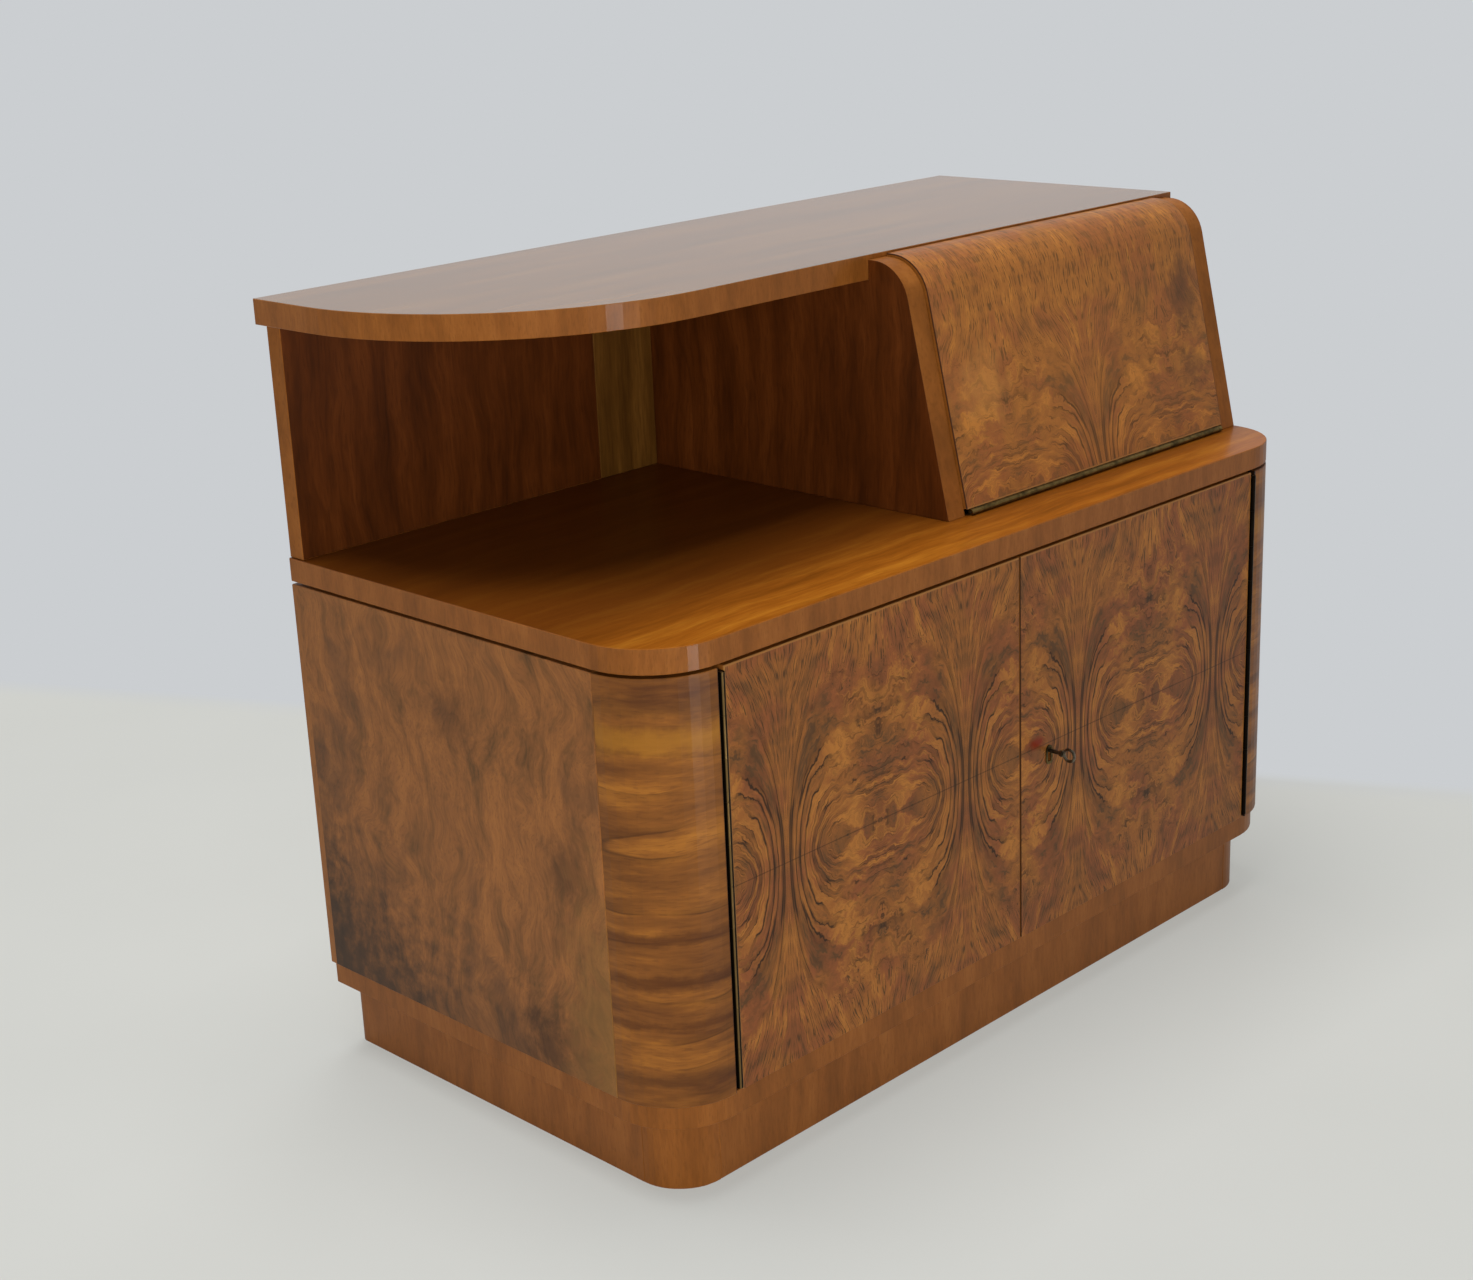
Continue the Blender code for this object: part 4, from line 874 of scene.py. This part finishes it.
class CABINET_OT_screws(bpy.types.Operator):
    """Screws of hinges, lock, keeper, bolt plates and battens, and the pins of the escutcheon"""
    bl_idname = "cabinet.screws"
    bl_label = "Screws"

    def execute(self, context):
        settings = context.scene.cabinet_fixings
        radius, spacing = settings.hinge_screw, settings.hinge_spacing
        rows = {"carcass": [], "left_door": [], "right_door": [], "flap": []}
        # Piano hinges of the doors: the leaves' faces look at each other across the pin
        for door, way in (("left_door", -1), ("right_door", 1)):
            leaf = door + "_hinge_door_leaf"
            low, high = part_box(door + "_hinge_pin")
            for body, side in ((door, -way), ("carcass", way)):
                rows[body] += screw_row(leaf, (-side, 0, 0), "z", HINGE_END, spacing, radius,
                                        x=(low.x + high.x) / 2 + side * HINGE_FACE,
                                        y=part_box(leaf)[1].y - HINGE_ROW)
        low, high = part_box("flap_hinge_pin")
        for body, side in (("flap", 1), ("carcass", -1)):
            rows[body] += screw_row("flap_hinge_flap_leaf", (0, 0, -side), "x", HINGE_END, spacing, radius,
                                    y=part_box("flap_hinge_flap_leaf")[1].y - HINGE_ROW,
                                    z=(low.z + high.z) / 2 + side * HINGE_FACE)
        # Lock and keeper are screwed on from inside, the bolt plates into the door's edge
        low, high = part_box("lock_case")
        for x in (low.x + LOCK_INSET, high.x - LOCK_INSET):
            rows["right_door"] += screw_row("lock_case", (0, 1, 0), "z", LOCK_INSET, END_TO_END, radius, x=x)
        for body, piece, facing, inset, size in (
                ("left_door", "lock_keeper", (0, 1, 0), KEEPER_INSET, KEEPER_SCREW),
                ("left_door", "upper_bolt_plate", (1, 0, 0), PLATE_INSET, PLATE_SCREW),
                ("left_door", "lower_bolt_plate", (1, 0, 0), PLATE_INSET, PLATE_SCREW),
                ("right_door", "escutcheon", (0, -1, 0), ESCUTCHEON_INSET, ESCUTCHEON_PIN)):
            rows[body] += screw_row(piece, facing, "z", inset, END_TO_END, size)
        for batten, side in (("left_shelf_batten", 1), ("right_shelf_batten", -1)):
            rows["carcass"] += screw_row(batten, (side, 0, 0), "y", BATTEN_INSET, settings.back_spacing,
                                         settings.back_screw)
        tree = slotted_screws_tree()
        sockets = {item.name: item.identifier for item in tree.interface.items_tree}
        for body, screws in rows.items():
            mesh = bpy.data.meshes.new("screw_points")
            mesh.from_pydata([place for place, facing, size in screws], [], [])
            mesh.attributes.new("facing", "FLOAT_VECTOR", "POINT").data.foreach_set(
                "vector", [value for place, facing, size in screws for value in facing])
            mesh.attributes.new("size", "FLOAT", "POINT").data.foreach_set(
                "value", [size for place, facing, size in screws])
            points = bpy.data.objects.new("screw_points", mesh)
            context.scene.collection.objects.link(points)
            modifier = points.modifiers.new("heads", "NODES")
            modifier.node_group = tree
            for label, value in (("Dome", settings.dome), ("Slot", SLOT_WIDTH), ("Seed", settings.seed),
                                 ("Metal", bpy.data.materials["aged_brass"])):
                modifier[sockets[label]] = value
            graph = context.evaluated_depsgraph_get()
            heads = bpy.data.meshes.new_from_object(points.evaluated_get(graph))
            bpy.data.objects.remove(points)
            piece = bpy.data.objects.new(body + "_screws", heads)
            context.scene.collection.objects.link(piece)
            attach(piece, body)
        return {"FINISHED"}


def lay_floor(settings):
    # Painted concrete, rolled: an even, matt pale grey with faint clouds 300 mm across. Further out it is as
    # pale as it is near the cabinet, up to the soft line where it turns into the wall
    surface = Surface("painted_floor")
    add = surface.add
    clouds = add(NOISE, surface.place, Scale=1 / 0.3, Detail=3.0)
    faint = add(RANGE, clouds, 0.3, 0.7, 0.0, 0.06)
    paint = add(MIX, faint, (*settings.floor, 1), linear("8F8F88"), **RGBA)
    past_line = add(VECTOR, surface.place, WALL_WAY, operation="DOT_PRODUCT")
    turn = add(RANGE, past_line, *WALL_LINE, **SMOOTH)
    distance = add(VECTOR, surface.place, operation="LENGTH")
    far = add(RANGE, distance, FLOOR_NEAR, FLOOR_FAR, FLOOR_GLOW, **SMOOTH)
    not_real = add("MAXIMUM", turn, far)
    path = add("ShaderNodeLightPath").outputs
    straight = add("MAXIMUM", path["Is Camera Ray"], path["Is Glossy Ray"])
    glow_part = add("MULTIPLY", not_real, straight)
    glow_colour = add(MIX, turn, linear("D1D2CD"), (*settings.wall, 1), **RGBA)
    glow = add("ShaderNodeEmission", Color=glow_colour)
    seen = add("ShaderNodeMixShader", glow_part, surface.shader, glow)
    set_inputs(surface.shader, {"Base Color": paint, "Roughness": 0.9, "Specular IOR Level": 0.0})
    set_inputs(surface.tree.nodes["Material Output"], {"Surface": seen})
    bm = bmesh.new()
    bm.faces.new([bm.verts.new((x * FLOOR, y * FLOOR, 0)) for x, y in ((-1, -1), (1, -1), (1, 1), (-1, 1))])
    mesh = bpy.data.meshes.new("floor")
    bm.to_mesh(mesh)
    bm.free()
    mesh.materials.append(surface.material)
    return bpy.data.objects.new("floor", mesh)


def light_room(scene, settings):
    """Weak light from all round; the backdrop that the camera and the polish see is the wall."""
    world = bpy.data.worlds.new("studio")
    world.use_nodes = True
    add = partial(add_node, world.node_tree)
    light = world.node_tree.nodes["Background"]
    set_inputs(light, {"Color": linear("F2F4F7"), "Strength": settings.sky})
    path = add("ShaderNodeLightPath").outputs
    straight = add("MAXIMUM", path["Is Camera Ray"], path["Is Glossy Ray"])
    either = add("MAXIMUM", straight, path["Is Transmission Ray"])
    backdrop = add("ShaderNodeBackground", Color=(*settings.wall, 1), Strength=1.0)
    shown = add("ShaderNodeMixShader", either, light, backdrop)
    set_inputs(world.node_tree.nodes["World Output"], {"Surface": shown})
    scene.world = world
    # Power, place, target and size of each lamp; only the strip shows in the polish, and it lights nothing
    for name, power, place, target, size in (
            ("key", settings.key, (-0.4, 0.35, 4.2), (-0.4, 0.34, 0.4), (2.2, 2.4)),
            ("fill", settings.fill, (-2.4, -2.5, 0.95), (-0.2, -0.1, 0.4), (2.0, 1.1)),
            ("back", settings.back, (2.5, 1.9, 1.5), (0.2, 0.1, 0.4), (2.0, 1.4)),
            ("strip", settings.strip, (-0.27, -1.3, 0.38), (-0.44, -0.24, 0.3), (0.16, 0.7))):
        lamp = bpy.data.lights.new(name, "AREA")
        lamp.shape = "RECTANGLE"
        lamp.size, lamp.size_y = size
        lamp.energy = power
        holder = bpy.data.objects.new(name, lamp)
        holder.location = place
        holder.rotation_euler = (Vector(place) - Vector(target)).to_track_quat("Z", "Y").to_euler()
        holder.visible_camera = False
        holder.visible_diffuse = name != "strip"
        holder.visible_glossy = name == "strip"
        scene.collection.objects.link(holder)


class CABINET_OT_studio(bpy.types.Operator):
    """Pale floor, even backdrop, soft lights and the camera"""
    bl_idname = "cabinet.studio"
    bl_label = "Studio"

    def execute(self, context):
        scene = context.scene
        floor = lay_floor(scene.cabinet_studio)
        scene.collection.objects.link(floor)
        light_room(scene, scene.cabinet_studio)
        lens = bpy.data.cameras.new("photograph")
        lens.lens = CAMERA_LENS
        lens.sensor_width = SENSOR_WIDTH
        lens.sensor_fit = "HORIZONTAL"
        camera = bpy.data.objects.new("photograph", lens)
        tilt, roll, turn = CAMERA_TURN
        camera.matrix_world = (Matrix.Translation(CAMERA_PLACE) @ Matrix.Rotation(turn, 4, "Z")
                               @ Matrix.Rotation(tilt, 4, "X") @ Matrix.Rotation(roll, 4, "Z"))
        scene.collection.objects.link(camera)
        scene.camera = camera
        scene.view_settings.view_transform = "Standard"
        return {"FINISHED"}


SETTINGS = {"cabinet_veneers": VeneerSettings, "cabinet_fixings": FixingSettings,
            "cabinet_studio": StudioSettings}
OPERATORS = (CABINET_OT_veneer_tools, CABINET_OT_doors, CABINET_OT_flap, CABINET_OT_carcass,
             CABINET_OT_upper_part, CABINET_OT_inside, CABINET_OT_metal, CABINET_OT_screws,
             CABINET_OT_studio)


class CABINET_PT_panel(bpy.types.Panel):
    """Builds the cabinet's looks step by step"""
    bl_idname = "CABINET_PT_panel"
    bl_label = "Walnut Bar Cabinet"
    bl_space_type = "VIEW_3D"
    bl_region_type = "UI"
    bl_category = "Cabinet"

    def draw(self, context):
        for group in SETTINGS:
            settings = getattr(context.scene, group)
            for name in settings.__annotations__:
                self.layout.prop(settings, name)
        for operator in OPERATORS:
            self.layout.operator(operator.bl_idname)


CLASSES = (*SETTINGS.values(), *OPERATORS, CABINET_PT_panel)


def register():
    for cls in CLASSES:
        bpy.utils.register_class(cls)
    for name, group in SETTINGS.items():
        setattr(bpy.types.Scene, name, PointerProperty(type=group))


def unregister():
    for name in SETTINGS:
        delattr(bpy.types.Scene, name)
    for cls in reversed(CLASSES):
        bpy.utils.unregister_class(cls)


def main():
    register()
    bpy.ops.cabinet.veneer_tools()
    bpy.ops.cabinet.doors()
    bpy.ops.cabinet.flap()
    bpy.ops.cabinet.carcass()
    bpy.ops.cabinet.upper_part()
    bpy.ops.cabinet.inside()
    bpy.ops.cabinet.metal()
    bpy.ops.cabinet.screws()
    bpy.ops.cabinet.studio()


if __name__ == "__main__":
    main()
